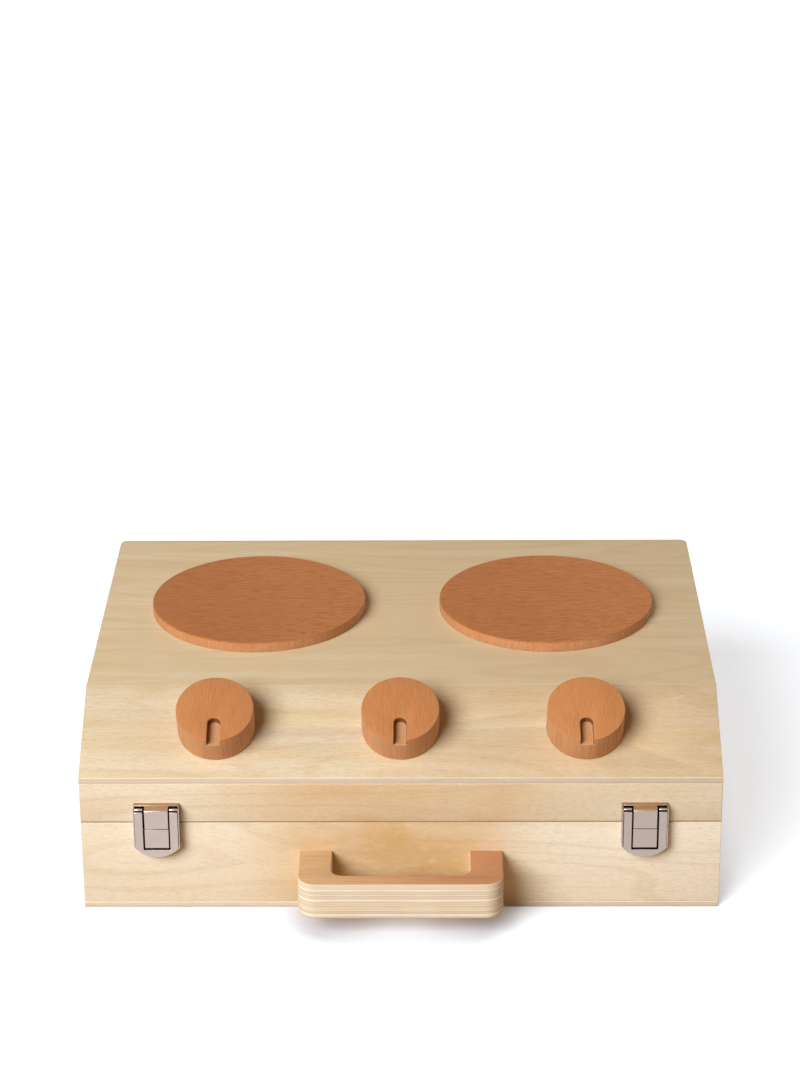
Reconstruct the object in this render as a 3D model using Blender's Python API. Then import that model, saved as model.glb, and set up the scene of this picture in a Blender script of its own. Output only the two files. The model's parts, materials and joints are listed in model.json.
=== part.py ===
"""Suitcase play kitchen: a plywood case whose sloped lid carries two burner discs and three turning knobs.

Run it with blender --background --python part.py, or from Blender's text editor.
Metres. +X runs to the right of someone facing the knobs, +Y to the back and +Z up.
The origin is the centre of the underside.
"""

import math

import bmesh
import bpy
from mathutils import Matrix

# Case
CASE_WIDTH = 0.400
CASE_DEPTH = 0.296
CASE_HEIGHT = 0.1255
SEAM_HEIGHT = 0.061
FOOT_HEIGHT = 0.092
SLOPE_RUN = 0.0625
SHEET_PLY = 0.004
WALL_PLY = 0.009
BACK_CORNER_RADIUS = 0.005

# Spacing kept between solids, and how far a cutter runs past what it cuts
GAP = 0.0003
OVERRUN = 0.001

# Burner discs
BURNER_RADIUS = 0.0711
BURNER_THICKNESS = 0.0069
BURNER_SPACING = 0.1922
BURNER_BACK_INSET = 0.1147
BURNER_RIM = 0.0006

# Knobs, placed along the slope from its front edge
KNOB_RADIUS = 0.0243
KNOB_HEIGHT = 0.0211
KNOB_PITCH = 0.1156
KNOB_UP_SLOPE = 0.0374
KNOB_RIM = 0.0007
GROOVE_WIDTH = 0.0080
GROOVE_DEPTH = 0.0050
GROOVE_START = 0.0065

# Knob screws and their washers, inside the lid
KNOB_SCREW_RADIUS = 0.0020
KNOB_SCREW_BITE = 0.0120
KNOB_SCREW_HEAD_RADIUS = 0.0040
KNOB_SCREW_HEAD_HEIGHT = 0.0024
WASHER_RADIUS = 0.0060
WASHER_THICKNESS = 0.0010

# Carry handle
HANDLE_WIDTH = 0.127
HANDLE_PROJECTION = 0.043
HANDLE_THICKNESS = 0.024
HANDLE_BOTTOM = 0.0167
HANDLE_ARM = 0.0206
HANDLE_GRIP = 0.012
HANDLE_OUTER_RADIUS = 0.0115
HANDLE_INNER_RADIUS = 0.007
HANDLE_ROUND = 0.0008
HANDLE_SCREW_RADIUS = 0.0019
HANDLE_SCREW_BITE = 0.022
HANDLE_SCREW_HEAD_RADIUS = 0.0042
HANDLE_SCREW_HEAD_HEIGHT = 0.0022

# Draw latches, measured up and down from the seam and out from the front face
LATCH_SIDE_INSET = 0.048
LATCH_SHEET = 0.0008
LATCH_PROJECTION = 0.0075
KEEPER_HEIGHT = 0.013
KEEPER_LIP = 0.0025
FRAME_WIDTH = 0.0276
FRAME_ARM = 0.0055
FRAME_DROP = 0.021
FRAME_BAR = 0.0052
FRAME_BOTTOM_RADIUS = 0.0176
FRAME_WINDOW_RADIUS = 0.001
FRAME_TOP = 0.0106
SHELL_MARGIN = 0.0011
TONGUE_WIDTH = 0.0149
TONGUE_GAP = 0.0010
LATCH_PIN_RADIUS = 0.0006
LATCH_PIN_HEIGHT = 0.011
LATCH_PIN_OUT = 0.0046
KNUCKLE_RADIUS = 0.0015
LATCH_SCREW_SPREAD = 0.0108
LATCH_SCREW_DROP = 0.0075
LATCH_SCREW_RISE = 0.0052
LATCH_SCREW_RADIUS = 0.0010
LATCH_SCREW_BITE = 0.0070
LATCH_SCREW_HEAD_RADIUS = 0.0022
LATCH_SCREW_HEAD_HEIGHT = 0.0011

# Butt hinges on the back face
HINGE_SIDE_INSET = 0.080
HINGE_LENGTH = 0.040
HINGE_LEAF = 0.013
HINGE_SHEET = 0.0010
HINGE_BARREL_RADIUS = 0.0022
HINGE_PIN_RADIUS = 0.0010
HINGE_KNUCKLES = 5
HINGE_SCREW_OFFSET = 0.012
HINGE_SCREW_REACH = 0.0082
HINGE_SCREW_RADIUS = 0.0010
HINGE_SCREW_BITE = 0.0070
HINGE_SCREW_HEAD_RADIUS = 0.0022
HINGE_SCREW_HEAD_HEIGHT = 0.0009

# Facets
DISC_SIDES = 72
KNOB_SIDES = 48
SMALL_SIDES = 16
SCREW_SIDES = 12
ARC_STEPS = 6
SMOOTH_ANGLE = math.radians(35)

# Places that follow from the sizes above
FRONT = -CASE_DEPTH / 2
BACK = CASE_DEPTH / 2
HALF_WIDTH = CASE_WIDTH / 2
SLOPE = math.atan2(CASE_HEIGHT - FOOT_HEIGHT, SLOPE_RUN)
RIDGE = FRONT + SLOPE_RUN
INNER_RIDGE = RIDGE + SHEET_PLY * math.tan(SLOPE / 2)
BASE_RIM = SEAM_HEIGHT - GAP / 2
LID_RIM = SEAM_HEIGHT + GAP / 2
HINGE_AXIS_OUT = GAP + HINGE_BARREL_RADIUS

# Materials: sRGB colour, roughness, metallic
BIRCH = ("birch plywood", "E9D2A6", 0.55, 0.0)
BIRCH_EDGE = ("birch plywood edge", "E6D3B0", 0.6, 0.0)
BEECH = ("beech", "C4865B", 0.5, 0.0)
NICKEL = ("nickel-plated steel", "C9BBB2", 0.28, 1.0)
ZINC = ("zinc-plated steel", "B9B9B5", 0.35, 1.0)


def linear(hex_colour):
    """The linear RGBA of an sRGB hex colour."""
    shares = [int(hex_colour[i : i + 2], 16) / 255 for i in (0, 2, 4)]
    return [c / 12.92 if c <= 0.04045 else ((c + 0.055) / 1.055) ** 2.4 for c in shares] + [1.0]


def material(finish):
    name, colour, roughness, metallic = finish
    found = bpy.data.materials.get(name)
    if found:
        return found
    made = bpy.data.materials.new(name)
    made.use_nodes = True
    shader = made.node_tree.nodes["Principled BSDF"]
    shader.inputs["Base Color"].default_value = linear(colour)
    shader.inputs["Roughness"].default_value = roughness
    shader.inputs["Metallic"].default_value = metallic
    return made


def clear_scene():
    for obj in list(bpy.data.objects):
        bpy.data.objects.remove(obj)


def arc(centre, radius, start, end):
    """Points along an arc, both ends included."""
    turns = [start + (end - start) * i / ARC_STEPS for i in range(ARC_STEPS + 1)]
    return [(centre[0] + radius * math.cos(a), centre[1] + radius * math.sin(a)) for a in turns]


def circle(radius, sides):
    turns = [math.tau * i / sides for i in range(sides)]
    return [(radius * math.cos(a), radius * math.sin(a)) for a in turns]


def rectangle(x_low, x_high, y_low, y_high):
    return [(x_low, y_low), (x_high, y_low), (x_high, y_high), (x_low, y_high)]


def at_height(outline, z):
    return [(x, y, z) for x, y in outline]


def solid(name, rings):
    """A mesh through rings of points with flat ends. Every ring has as many points."""
    shape = bmesh.new()
    loops = [[shape.verts.new(point) for point in ring] for ring in rings]
    for lower, upper in zip(loops, loops[1:]):
        for i in range(len(lower)):
            j = (i + 1) % len(lower)
            shape.faces.new((lower[i], lower[j], upper[j], upper[i]))
    shape.faces.new(loops[0])
    shape.faces.new(loops[-1])
    bmesh.ops.recalc_face_normals(shape, faces=shape.faces)
    mesh = bpy.data.meshes.new(name)
    shape.to_mesh(mesh)
    shape.free()
    mesh.shade_smooth()
    mesh.set_sharp_from_angle(angle=SMOOTH_ANGLE)
    return mesh


def prism(name, outline, low, high):
    return solid(name, [at_height(outline, low), at_height(outline, high)])


def box(name, x_range, y_range, z_range):
    return prism(name, rectangle(*x_range, *y_range), *z_range)


def turned(name, profile, sides):
    """A mesh turned about Z from (radius, height) steps, lowest first."""
    return solid(name, [at_height(circle(radius, sides), height) for radius, height in profile])


def seat(x, y, z, turn=0.0):
    """A place in the case, its axes turned about X."""
    return Matrix.Translation((x, y, z)) @ Matrix.Rotation(turn, 4, "X")


def front_seat(x, z):
    """A place on the front face: X right, Y up, Z out of the case."""
    return seat(x, FRONT, z, math.pi / 2)


def back_seat(x, z):
    """A place on the back face: X left, Y up, Z out of the case."""
    facing_back = Matrix.Rotation(math.pi, 4, "Z") @ Matrix.Rotation(math.pi / 2, 4, "X")
    return Matrix.Translation((x, BACK, z)) @ facing_back


def across():
    """A place whose X, Y and Z are the case's Y, Z and X, for outlines seen from the side."""
    return Matrix(((0, 0, 1, 0), (1, 0, 0, 0), (0, 1, 0, 0), (0, 0, 0, 1)))


def place(name, mesh, finish, where, parent=None):
    """The piece called name, at the place where, held by parent without moving."""
    if not mesh.materials:
        mesh.materials.append(material(finish))
    obj = bpy.data.objects.new(name, mesh)
    bpy.context.collection.objects.link(obj)
    obj.matrix_world = where
    if parent:
        obj.parent = parent
        obj.matrix_parent_inverse = parent.matrix_world.inverted()
    return obj


def axis_empty(name, where, parent=None):
    """An empty on a joint's axis."""
    empty = bpy.data.objects.new(name, None)
    bpy.context.collection.objects.link(empty)
    empty.matrix_world = where
    if parent:
        empty.parent = parent
        empty.matrix_parent_inverse = parent.matrix_world.inverted()
    bpy.context.view_layer.update()
    return empty


def combine(target, mesh, where, operation):
    """Adds a Boolean to target, whose other shape is a hidden helper that moves with it."""
    helper = place(f"{target.name}_{operation.lower()}", mesh, BIRCH, where, target.parent)
    helper.hide_render = True
    helper.display_type = "WIRE"
    boolean = target.modifiers.new(operation.title(), "BOOLEAN")
    boolean.operation = operation
    boolean.solver = "EXACT"
    boolean.object = helper


def add(target, mesh, where):
    combine(target, mesh, where, "UNION")


def drill(target, where, radius, low, high):
    """A round hole along the place's Z, from low to high."""
    bit = turned("drill", [(radius, low), (radius, high)], SMALL_SIDES)
    combine(target, bit, where, "DIFFERENCE")


def screw_mesh(name, radius, length, head_radius, head_height):
    """A round-headed screw along Z: the seat of its head at 0, its point at -length."""
    tip_share, crown_share, shoulder_share = 0.25, 0.55, 0.5
    profile = [
        (radius * tip_share, -length),
        (radius, -length + 2 * radius),
        (radius, 0.0),
        (head_radius, 0.0),
        (head_radius, head_height * shoulder_share),
        (head_radius * crown_share, head_height),
    ]
    return turned(name, profile, SCREW_SIDES)


def plan(front, back):
    """The plan of a full-width board, its two back corners rounded."""
    inner = HALF_WIDTH - BACK_CORNER_RADIUS
    turn_y = back - BACK_CORNER_RADIUS
    return [
        (-HALF_WIDTH, front),
        (HALF_WIDTH, front),
        *arc((inner, turn_y), BACK_CORNER_RADIUS, 0.0, math.pi / 2),
        *arc((-inner, turn_y), BACK_CORNER_RADIUS, math.pi / 2, math.pi),
    ]


def slope_top(y):
    """The height of the slope panel's top face."""
    return FOOT_HEIGHT + (y - FRONT) * math.tan(SLOPE)


def slope_under(y):
    """The height of the slope panel's underside."""
    return slope_top(y) - SHEET_PLY / math.cos(SLOPE)


def build_base():
    """The open box that stands on the floor: a thin bottom under four walls."""
    upright = seat(0.0, 0.0, 0.0)
    bottom = prism("base_bottom_panel", plan(FRONT, BACK), 0.0, SHEET_PLY)
    place("base_bottom_panel", bottom, BIRCH, upright)

    wall_z = (SHEET_PLY + GAP, BASE_RIM)
    front = box("base_front_panel", (-HALF_WIDTH, HALF_WIDTH), (FRONT, FRONT + WALL_PLY), wall_z)
    front_panel = place("base_front_panel", front, BIRCH, upright)
    back = prism("base_back_panel", plan(BACK - WALL_PLY, BACK), *wall_z)
    back_panel = place("base_back_panel", back, BIRCH, upright)

    wall_y = (FRONT + WALL_PLY + GAP, BACK - WALL_PLY - GAP)
    for name, sign in (("base_left_panel", -1), ("base_right_panel", 1)):
        wall_x = sorted((sign * HALF_WIDTH, sign * (HALF_WIDTH - WALL_PLY)))
        place(name, box(name, wall_x, wall_y, wall_z), BIRCH, upright)
    return front_panel, back_panel


def handle_outline():
    """The carry handle seen from above: X right, Y from the front face outwards as -Y."""
    half = HANDLE_WIDTH / 2
    inner = half - HANDLE_ARM
    near, far = -GAP, -HANDLE_PROJECTION
    window = far + HANDLE_GRIP
    outer_turn = half - HANDLE_OUTER_RADIUS
    inner_turn = inner - HANDLE_INNER_RADIUS
    return [
        (-half, near),
        *arc((-outer_turn, far + HANDLE_OUTER_RADIUS), HANDLE_OUTER_RADIUS, math.pi, 1.5 * math.pi),
        *arc((outer_turn, far + HANDLE_OUTER_RADIUS), HANDLE_OUTER_RADIUS, 1.5 * math.pi, math.tau),
        (half, near),
        (inner, near),
        *arc((inner_turn, window + HANDLE_INNER_RADIUS), HANDLE_INNER_RADIUS, 0.0, -math.pi / 2),
        *arc((-inner_turn, window + HANDLE_INNER_RADIUS), HANDLE_INNER_RADIUS, -math.pi / 2, -math.pi),
        (-inner, near),
    ]


def build_handle(front_panel):
    """A U of thick plywood, screwed on from inside the case."""
    mesh = prism("carry_handle", handle_outline(), 0.0, HANDLE_THICKNESS)
    handle = place("carry_handle", mesh, BIRCH_EDGE, seat(0.0, FRONT, HANDLE_BOTTOM))
    rounding = handle.modifiers.new("Rounding", "BEVEL")
    rounding.width = HANDLE_ROUND
    rounding.segments = 2
    rounding.limit_method = "ANGLE"
    rounding.angle_limit = math.radians(60)

    length = WALL_PLY + 2 * GAP + HANDLE_SCREW_BITE
    mesh = screw_mesh(
        "handle_screw", HANDLE_SCREW_RADIUS, length, HANDLE_SCREW_HEAD_RADIUS, HANDLE_SCREW_HEAD_HEIGHT
    )
    arm_middle = (HANDLE_WIDTH - HANDLE_ARM) / 2
    height = HANDLE_BOTTOM + HANDLE_THICKNESS / 2
    for side, x in (("left", -arm_middle), ("right", arm_middle)):
        where = seat(x, FRONT + WALL_PLY + GAP, height, -math.pi / 2)
        for piece in (front_panel, handle):
            drill(piece, where, HANDLE_SCREW_RADIUS + GAP, -length - GAP, OVERRUN)
        place(f"handle_screw_{side}", mesh, ZINC, where)


def build_lid(lid_axis):
    """The raised lid: a flat top, a sloped front panel and four walls under them."""
    upright = seat(0.0, 0.0, 0.0)
    top_rings = [
        at_height(plan(INNER_RIDGE + GAP, BACK), CASE_HEIGHT - SHEET_PLY),
        at_height(plan(RIDGE + GAP, BACK), CASE_HEIGHT),
    ]
    place("lid_top_panel", solid("lid_top_panel", top_rings), BIRCH, upright, lid_axis)

    slope_outline = [
        (FRONT, slope_under(FRONT)),
        (INNER_RIDGE, slope_under(INNER_RIDGE)),
        (RIDGE, CASE_HEIGHT),
        (FRONT, FOOT_HEIGHT),
    ]
    slope_mesh = prism("lid_slope_panel", slope_outline, -HALF_WIDTH, HALF_WIDTH)
    slope_panel = place("lid_slope_panel", slope_mesh, BIRCH, across(), lid_axis)

    rail_back = FRONT + WALL_PLY
    rail_outline = [
        (FRONT, LID_RIM),
        (rail_back, LID_RIM),
        (rail_back, slope_under(rail_back) - GAP),
        (FRONT, slope_under(FRONT) - GAP),
    ]
    rail = prism("lid_front_rail", rail_outline, -HALF_WIDTH, HALF_WIDTH)
    front_rail = place("lid_front_rail", rail, BIRCH, across(), lid_axis)

    under_top = CASE_HEIGHT - SHEET_PLY - GAP
    rail = prism("lid_back_rail", plan(BACK - WALL_PLY, BACK), LID_RIM, under_top)
    back_rail = place("lid_back_rail", rail, BIRCH, upright, lid_axis)

    near, far = rail_back + GAP, BACK - WALL_PLY - GAP
    side_outline = [
        (near, LID_RIM),
        (far, LID_RIM),
        (far, under_top),
        (INNER_RIDGE, under_top),
        (near, slope_under(near) - GAP),
    ]
    for name, sign in (("lid_left_side", -1), ("lid_right_side", 1)):
        ends = sorted((sign * HALF_WIDTH, sign * (HALF_WIDTH - WALL_PLY)))
        place(name, prism(name, side_outline, *ends), BIRCH, across(), lid_axis)
    return slope_panel, front_rail, back_rail


def build_burners(lid_axis):
    """Two beech discs glued to the flat top."""
    profile = [
        (BURNER_RADIUS, 0.0),
        (BURNER_RADIUS, BURNER_THICKNESS - GAP - BURNER_RIM),
        (BURNER_RADIUS - BURNER_RIM, BURNER_THICKNESS - GAP),
    ]
    mesh = turned("burner", profile, DISC_SIDES)
    for side, sign in (("left", -1), ("right", 1)):
        where = seat(sign * BURNER_SPACING / 2, BACK - BURNER_BACK_INSET, CASE_HEIGHT + GAP)
        place(f"burner_{side}", mesh, BEECH, where, lid_axis)


def groove_mesh():
    """The cutter for a knob's pointer groove: round at its inner end, open at the rim."""
    half = GROOVE_WIDTH / 2
    centre_y = -GROOVE_START - half
    outline = [
        (-half, -KNOB_RADIUS - OVERRUN),
        (half, -KNOB_RADIUS - OVERRUN),
        *arc((0.0, centre_y), half, 0.0, math.pi),
    ]
    return prism("groove", outline, KNOB_HEIGHT - GROOVE_DEPTH, KNOB_HEIGHT + OVERRUN)


def build_knobs(slope_panel, lid_axis):
    """Three beech knobs, each turning on a screw that comes up through the slope panel."""
    knob_profile = [
        (KNOB_RADIUS, GAP),
        (KNOB_RADIUS, KNOB_HEIGHT - KNOB_RIM),
        (KNOB_RADIUS - KNOB_RIM, KNOB_HEIGHT),
    ]
    head_depth = SHEET_PLY + WASHER_THICKNESS + 2 * GAP
    length = head_depth + GAP + KNOB_SCREW_BITE
    hole_radius = KNOB_SCREW_RADIUS + GAP
    screw = screw_mesh(
        "knob_screw", KNOB_SCREW_RADIUS, length, KNOB_SCREW_HEAD_RADIUS, KNOB_SCREW_HEAD_HEIGHT
    )
    washer_profile = [(WASHER_RADIUS, 0.0), (WASHER_RADIUS, WASHER_THICKNESS)]
    washer = turned("knob_washer", washer_profile, SMALL_SIDES)
    turned_knob = turned("knob", knob_profile, KNOB_SIDES)
    y = FRONT + KNOB_UP_SLOPE * math.cos(SLOPE)
    for side, x in (("left", -KNOB_PITCH), ("middle", 0.0), ("right", KNOB_PITCH)):
        on_slope = seat(x, y, slope_top(y), SLOPE)
        head_seat = on_slope @ Matrix.Translation((0.0, 0.0, -head_depth))
        under_slope = head_seat @ Matrix.Rotation(math.pi, 4, "X")
        knob_axis = axis_empty(f"knob_{side}_axis", on_slope, lid_axis)
        knob = place(f"knob_{side}", turned_knob, BEECH, on_slope, knob_axis)
        combine(knob, groove_mesh(), on_slope, "DIFFERENCE")
        drill(knob, under_slope, hole_radius, -length - GAP, 0.0)
        drill(slope_panel, under_slope, hole_radius, -length, 0.0)
        place(f"knob_{side}_screw", screw, ZINC, under_slope, knob_axis)
        ring_seat = under_slope @ Matrix.Translation((0.0, 0.0, -GAP - WASHER_THICKNESS))
        ring = place(f"knob_{side}_washer", washer, ZINC, ring_seat, lid_axis)
        drill(ring, ring_seat, hole_radius, -OVERRUN, WASHER_THICKNESS + OVERRUN)


def frame_outline():
    """A latch's D-shaped frame seen from the front, from the seam: an arched foot and two arms."""
    half, inner = FRAME_WIDTH / 2, FRAME_WIDTH / 2 - FRAME_ARM
    window = -FRAME_DROP + FRAME_BAR
    centre_y = FRAME_BOTTOM_RADIUS - FRAME_DROP
    spread = math.asin(half / FRAME_BOTTOM_RADIUS)
    turn = inner - FRAME_WINDOW_RADIUS
    turn_y = window + FRAME_WINDOW_RADIUS
    return [
        (-half, FRAME_TOP),
        *arc((0.0, centre_y), FRAME_BOTTOM_RADIUS, 1.5 * math.pi - spread, 1.5 * math.pi + spread),
        (half, FRAME_TOP),
        (inner, FRAME_TOP),
        *arc((turn, turn_y), FRAME_WINDOW_RADIUS, 0.0, -math.pi / 2),
        *arc((-turn, turn_y), FRAME_WINDOW_RADIUS, -math.pi / 2, -math.pi),
        (-inner, FRAME_TOP),
    ]


def shell_outline(top, grow):
    """The outline of the catch's shell below the seam, grown from the frame's."""
    half = FRAME_WIDTH / 2 + grow
    radius = FRAME_BOTTOM_RADIUS + grow
    spread = math.asin(half / radius)
    centre_y = FRAME_BOTTOM_RADIUS - FRAME_DROP
    return [
        (half, top),
        (-half, top),
        *arc((0.0, centre_y), radius, 1.5 * math.pi - spread, 1.5 * math.pi + spread),
    ]


def tube_along_x(name, radius, x_low, x_high):
    """A round bar along X about the place's origin, a facet facing down and up."""
    turns = [math.tau * (i + 0.5) / SMALL_SIDES for i in range(SMALL_SIDES)]
    ends = [[(x, radius * math.cos(a), radius * math.sin(a)) for a in turns] for x in (x_low, x_high)]
    return solid(name, ends)


def build_latch_frame(side, where, latch_axis):
    """The swinging frame: arms folded back at the top and rolled round the pin."""
    front, back = LATCH_PROJECTION, LATCH_PROJECTION - LATCH_SHEET
    mesh = prism("latch_frame", frame_outline(), back, front)
    frame = place(f"latch_frame_{side}", mesh, NICKEL, where, latch_axis)
    half, inner = FRAME_WIDTH / 2, FRAME_WIDTH / 2 - FRAME_ARM
    pin = where @ Matrix.Translation((0.0, LATCH_PIN_HEIGHT, LATCH_PIN_OUT))
    for sign in (-1, 1):
        reach = sorted((sign * inner, sign * half))
        fold = box("fold", reach, (FRAME_TOP - LATCH_SHEET, FRAME_TOP), (LATCH_PIN_OUT, front))
        add(frame, fold, where)
        add(frame, tube_along_x("knuckle", KNUCKLE_RADIUS, *reach), pin)
    bore = tube_along_x("bore", LATCH_PIN_RADIUS + GAP, -half - OVERRUN, half + OVERRUN)
    combine(frame, bore, pin, "DIFFERENCE")


def add_tongue(target, where, low, high, front):
    """The raised middle of a latch half: a front plate on two cheeks."""
    half = TONGUE_WIDTH / 2
    root = GAP + LATCH_SHEET / 2
    add(target, box("tongue", (-half, half), (low, high), (front - LATCH_SHEET, front)), where)
    for sign in (-1, 1):
        cheek = sorted((sign * half, sign * (half - LATCH_SHEET)))
        add(target, box("cheek", cheek, (low, high), (root, front - LATCH_SHEET / 2)), where)


def build_keeper(side, where, lid_axis):
    """The latch's half on the lid: a backing plate, two ears, a roof and the tongue, drilled for the pin."""
    half = FRAME_WIDTH / 2 + SHELL_MARGIN
    low, high = GAP / 2, KEEPER_HEIGHT
    front = LATCH_PROJECTION - LATCH_SHEET - GAP
    plate = box("latch_keeper", (-half, half), (low, high), (GAP, GAP + LATCH_SHEET))
    keeper = place(f"latch_keeper_{side}", plate, NICKEL, where, lid_axis)
    root = GAP + LATCH_SHEET / 2
    for sign in (-1, 1):
        ear = sorted((sign * half, sign * (half - LATCH_SHEET)))
        add(keeper, box("ear", ear, (low, high), (root, front)), where)
    roof = (high - LATCH_SHEET, high)
    add(keeper, box("roof_lip", (-half, half), roof, (root, KEEPER_LIP)), where)
    add_tongue(keeper, where, low, high, front)
    tongue = TONGUE_WIDTH / 2
    add(keeper, box("roof", (-tongue, tongue), roof, (root, front)), where)

    pin_place = where @ Matrix.Translation((0.0, LATCH_PIN_HEIGHT, LATCH_PIN_OUT))
    bore = tube_along_x("bore", LATCH_PIN_RADIUS + GAP, -half - OVERRUN, half + OVERRUN)
    combine(keeper, bore, pin_place, "DIFFERENCE")
    pin = tube_along_x("latch_pin", LATCH_PIN_RADIUS, -half, half)
    place(f"latch_pin_{side}", pin, ZINC, pin_place, lid_axis)
    return keeper


def build_catch(side, where):
    """The latch's half on the base: a shallow D-shaped tray with the block that the frame closes round."""
    low, high = -FRAME_DROP + FRAME_BAR + TONGUE_GAP, -GAP / 2
    front = LATCH_PROJECTION - LATCH_SHEET - GAP
    tray = prism("latch_catch", shell_outline(high, SHELL_MARGIN), GAP, front)
    catch = place(f"latch_catch_{side}", tray, NICKEL, where)
    hollow = shell_outline(high + OVERRUN, SHELL_MARGIN - LATCH_SHEET)
    combine(catch, prism("hollow", hollow, GAP + LATCH_SHEET, front + OVERRUN), where, "DIFFERENCE")
    add_tongue(catch, where, low, high, front)
    half = TONGUE_WIDTH / 2
    root = GAP + LATCH_SHEET / 2
    add(catch, box("foot", (-half, half), (low, low + LATCH_SHEET), (root, front)), where)
    return catch


def fix_with_screws(names, screw, places, radius, pieces, parent):
    """Drills the pieces and sets a screw at each place, its head's seat at the place's origin."""
    for name, where in zip(names, places):
        for piece, low, high in pieces:
            drill(piece, where, radius + GAP, low, high)
        place(name, screw, ZINC, where, parent)


def build_latches(front_panel, front_rail, lid_axis):
    """Two draw latches across the seam."""
    plate_front = 2 * GAP + LATCH_SHEET
    length = plate_front + LATCH_SCREW_BITE
    screw = screw_mesh(
        "latch_screw", LATCH_SCREW_RADIUS, length, LATCH_SCREW_HEAD_RADIUS, LATCH_SCREW_HEAD_HEIGHT
    )
    for side, sign in (("left", -1), ("right", 1)):
        where = front_seat(sign * (HALF_WIDTH - LATCH_SIDE_INSET), SEAM_HEIGHT)
        pin_place = where @ Matrix.Translation((0.0, LATCH_PIN_HEIGHT, LATCH_PIN_OUT))
        latch_axis = axis_empty(f"latch_{side}_axis", pin_place, lid_axis)
        build_latch_frame(side, where, latch_axis)
        halves = (
            ("keeper", build_keeper(side, where, lid_axis), front_rail, LATCH_SCREW_RISE, lid_axis),
            ("catch", build_catch(side, where), front_panel, -LATCH_SCREW_DROP, None),
        )
        for half_name, plate, board, height, parent in halves:
            places = [
                where @ Matrix.Translation((x, height, plate_front))
                for x in (-LATCH_SCREW_SPREAD, LATCH_SCREW_SPREAD)
            ]
            names = [f"latch_{half_name}_{side}_screw_{n}" for n in ("a", "b")]
            pieces = (
                (plate, -plate_front - OVERRUN, OVERRUN),
                (board, -length - GAP, 0.0),
            )
            fix_with_screws(names, screw, places, LATCH_SCREW_RADIUS, pieces, parent)


def knuckle_spans(first):
    """The X ranges of every second knuckle of a hinge, from the first or the second."""
    pitch = (HINGE_LENGTH + GAP) / HINGE_KNUCKLES
    start = -HINGE_LENGTH / 2
    return [(start + i * pitch, start + (i + 1) * pitch - GAP) for i in range(first, HINGE_KNUCKLES, 2)]


def build_leaf(name, where, rise, first, parent):
    """One hinge leaf: a plate clear of the barrel, with its own knuckles reaching in to the axis."""
    half = HINGE_LENGTH / 2
    sheet = (GAP, GAP + HINGE_SHEET)
    clear = HINGE_BARREL_RADIUS + GAP
    plate = box("hinge_leaf", (-half, half), sorted((rise * clear, rise * HINGE_LEAF)), sheet)
    leaf = place(name, plate, NICKEL, where, parent)
    barrel = where @ Matrix.Translation((0.0, 0.0, HINGE_AXIS_OUT))
    for span in knuckle_spans(first):
        web = box("web", span, sorted((0.0, rise * (clear + OVERRUN))), sheet)
        add(leaf, web, where)
        add(leaf, tube_along_x("knuckle", HINGE_BARREL_RADIUS, *span), barrel)
    bore = tube_along_x("bore", HINGE_PIN_RADIUS + GAP, -half - OVERRUN, half + OVERRUN)
    combine(leaf, bore, barrel, "DIFFERENCE")
    return leaf


def build_hinges(back_panel, back_rail, lid_axis):
    """Two butt hinges on the outside of the back, their pins on the seam."""
    plate_front = 2 * GAP + HINGE_SHEET
    length = plate_front + HINGE_SCREW_BITE
    screw = screw_mesh(
        "hinge_screw", HINGE_SCREW_RADIUS, length, HINGE_SCREW_HEAD_RADIUS, HINGE_SCREW_HEAD_HEIGHT
    )
    half = HINGE_LENGTH / 2
    for side, sign in (("left", -1), ("right", 1)):
        where = back_seat(sign * (HALF_WIDTH - HINGE_SIDE_INSET), SEAM_HEIGHT)
        barrel = where @ Matrix.Translation((0.0, 0.0, HINGE_AXIS_OUT))
        place(f"hinge_pin_{side}", tube_along_x("hinge_pin", HINGE_PIN_RADIUS, -half, half), ZINC, barrel)
        leaves = (
            ("base", back_panel, -1, 0, None),
            ("lid", back_rail, 1, 1, lid_axis),
        )
        for leaf_name, board, rise, first, parent in leaves:
            leaf = build_leaf(f"hinge_{leaf_name}_leaf_{side}", where, rise, first, parent)
            places = [
                where @ Matrix.Translation((x, rise * HINGE_SCREW_REACH, plate_front))
                for x in (-HINGE_SCREW_OFFSET, HINGE_SCREW_OFFSET)
            ]
            names = [f"hinge_{leaf_name}_{side}_screw_{n}" for n in ("a", "b")]
            pieces = (
                (leaf, -plate_front - OVERRUN, OVERRUN),
                (board, -length - GAP, 0.0),
            )
            fix_with_screws(names, screw, places, HINGE_SCREW_RADIUS, pieces, parent)


def main():
    clear_scene()
    lid_axis = axis_empty("lid_axis", seat(0.0, BACK + HINGE_AXIS_OUT, SEAM_HEIGHT))
    front_panel, back_panel = build_base()
    build_handle(front_panel)
    slope_panel, front_rail, back_rail = build_lid(lid_axis)
    build_burners(lid_axis)
    build_knobs(slope_panel, lid_axis)
    build_latches(front_panel, front_rail, lid_axis)
    build_hinges(back_panel, back_rail, lid_axis)


main()
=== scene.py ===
"""Suitcase play kitchen: the finished look of its boards, discs, knobs, handle, latches and hinges.

Laid out as a Blender add-on and run as a script. Metres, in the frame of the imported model:
+X to the right of someone facing the knobs, +Y to the back, +Z up, origin under the middle of the case.
"""

import json
import math

import bmesh
import bpy
from mathutils import Matrix, Vector

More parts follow.
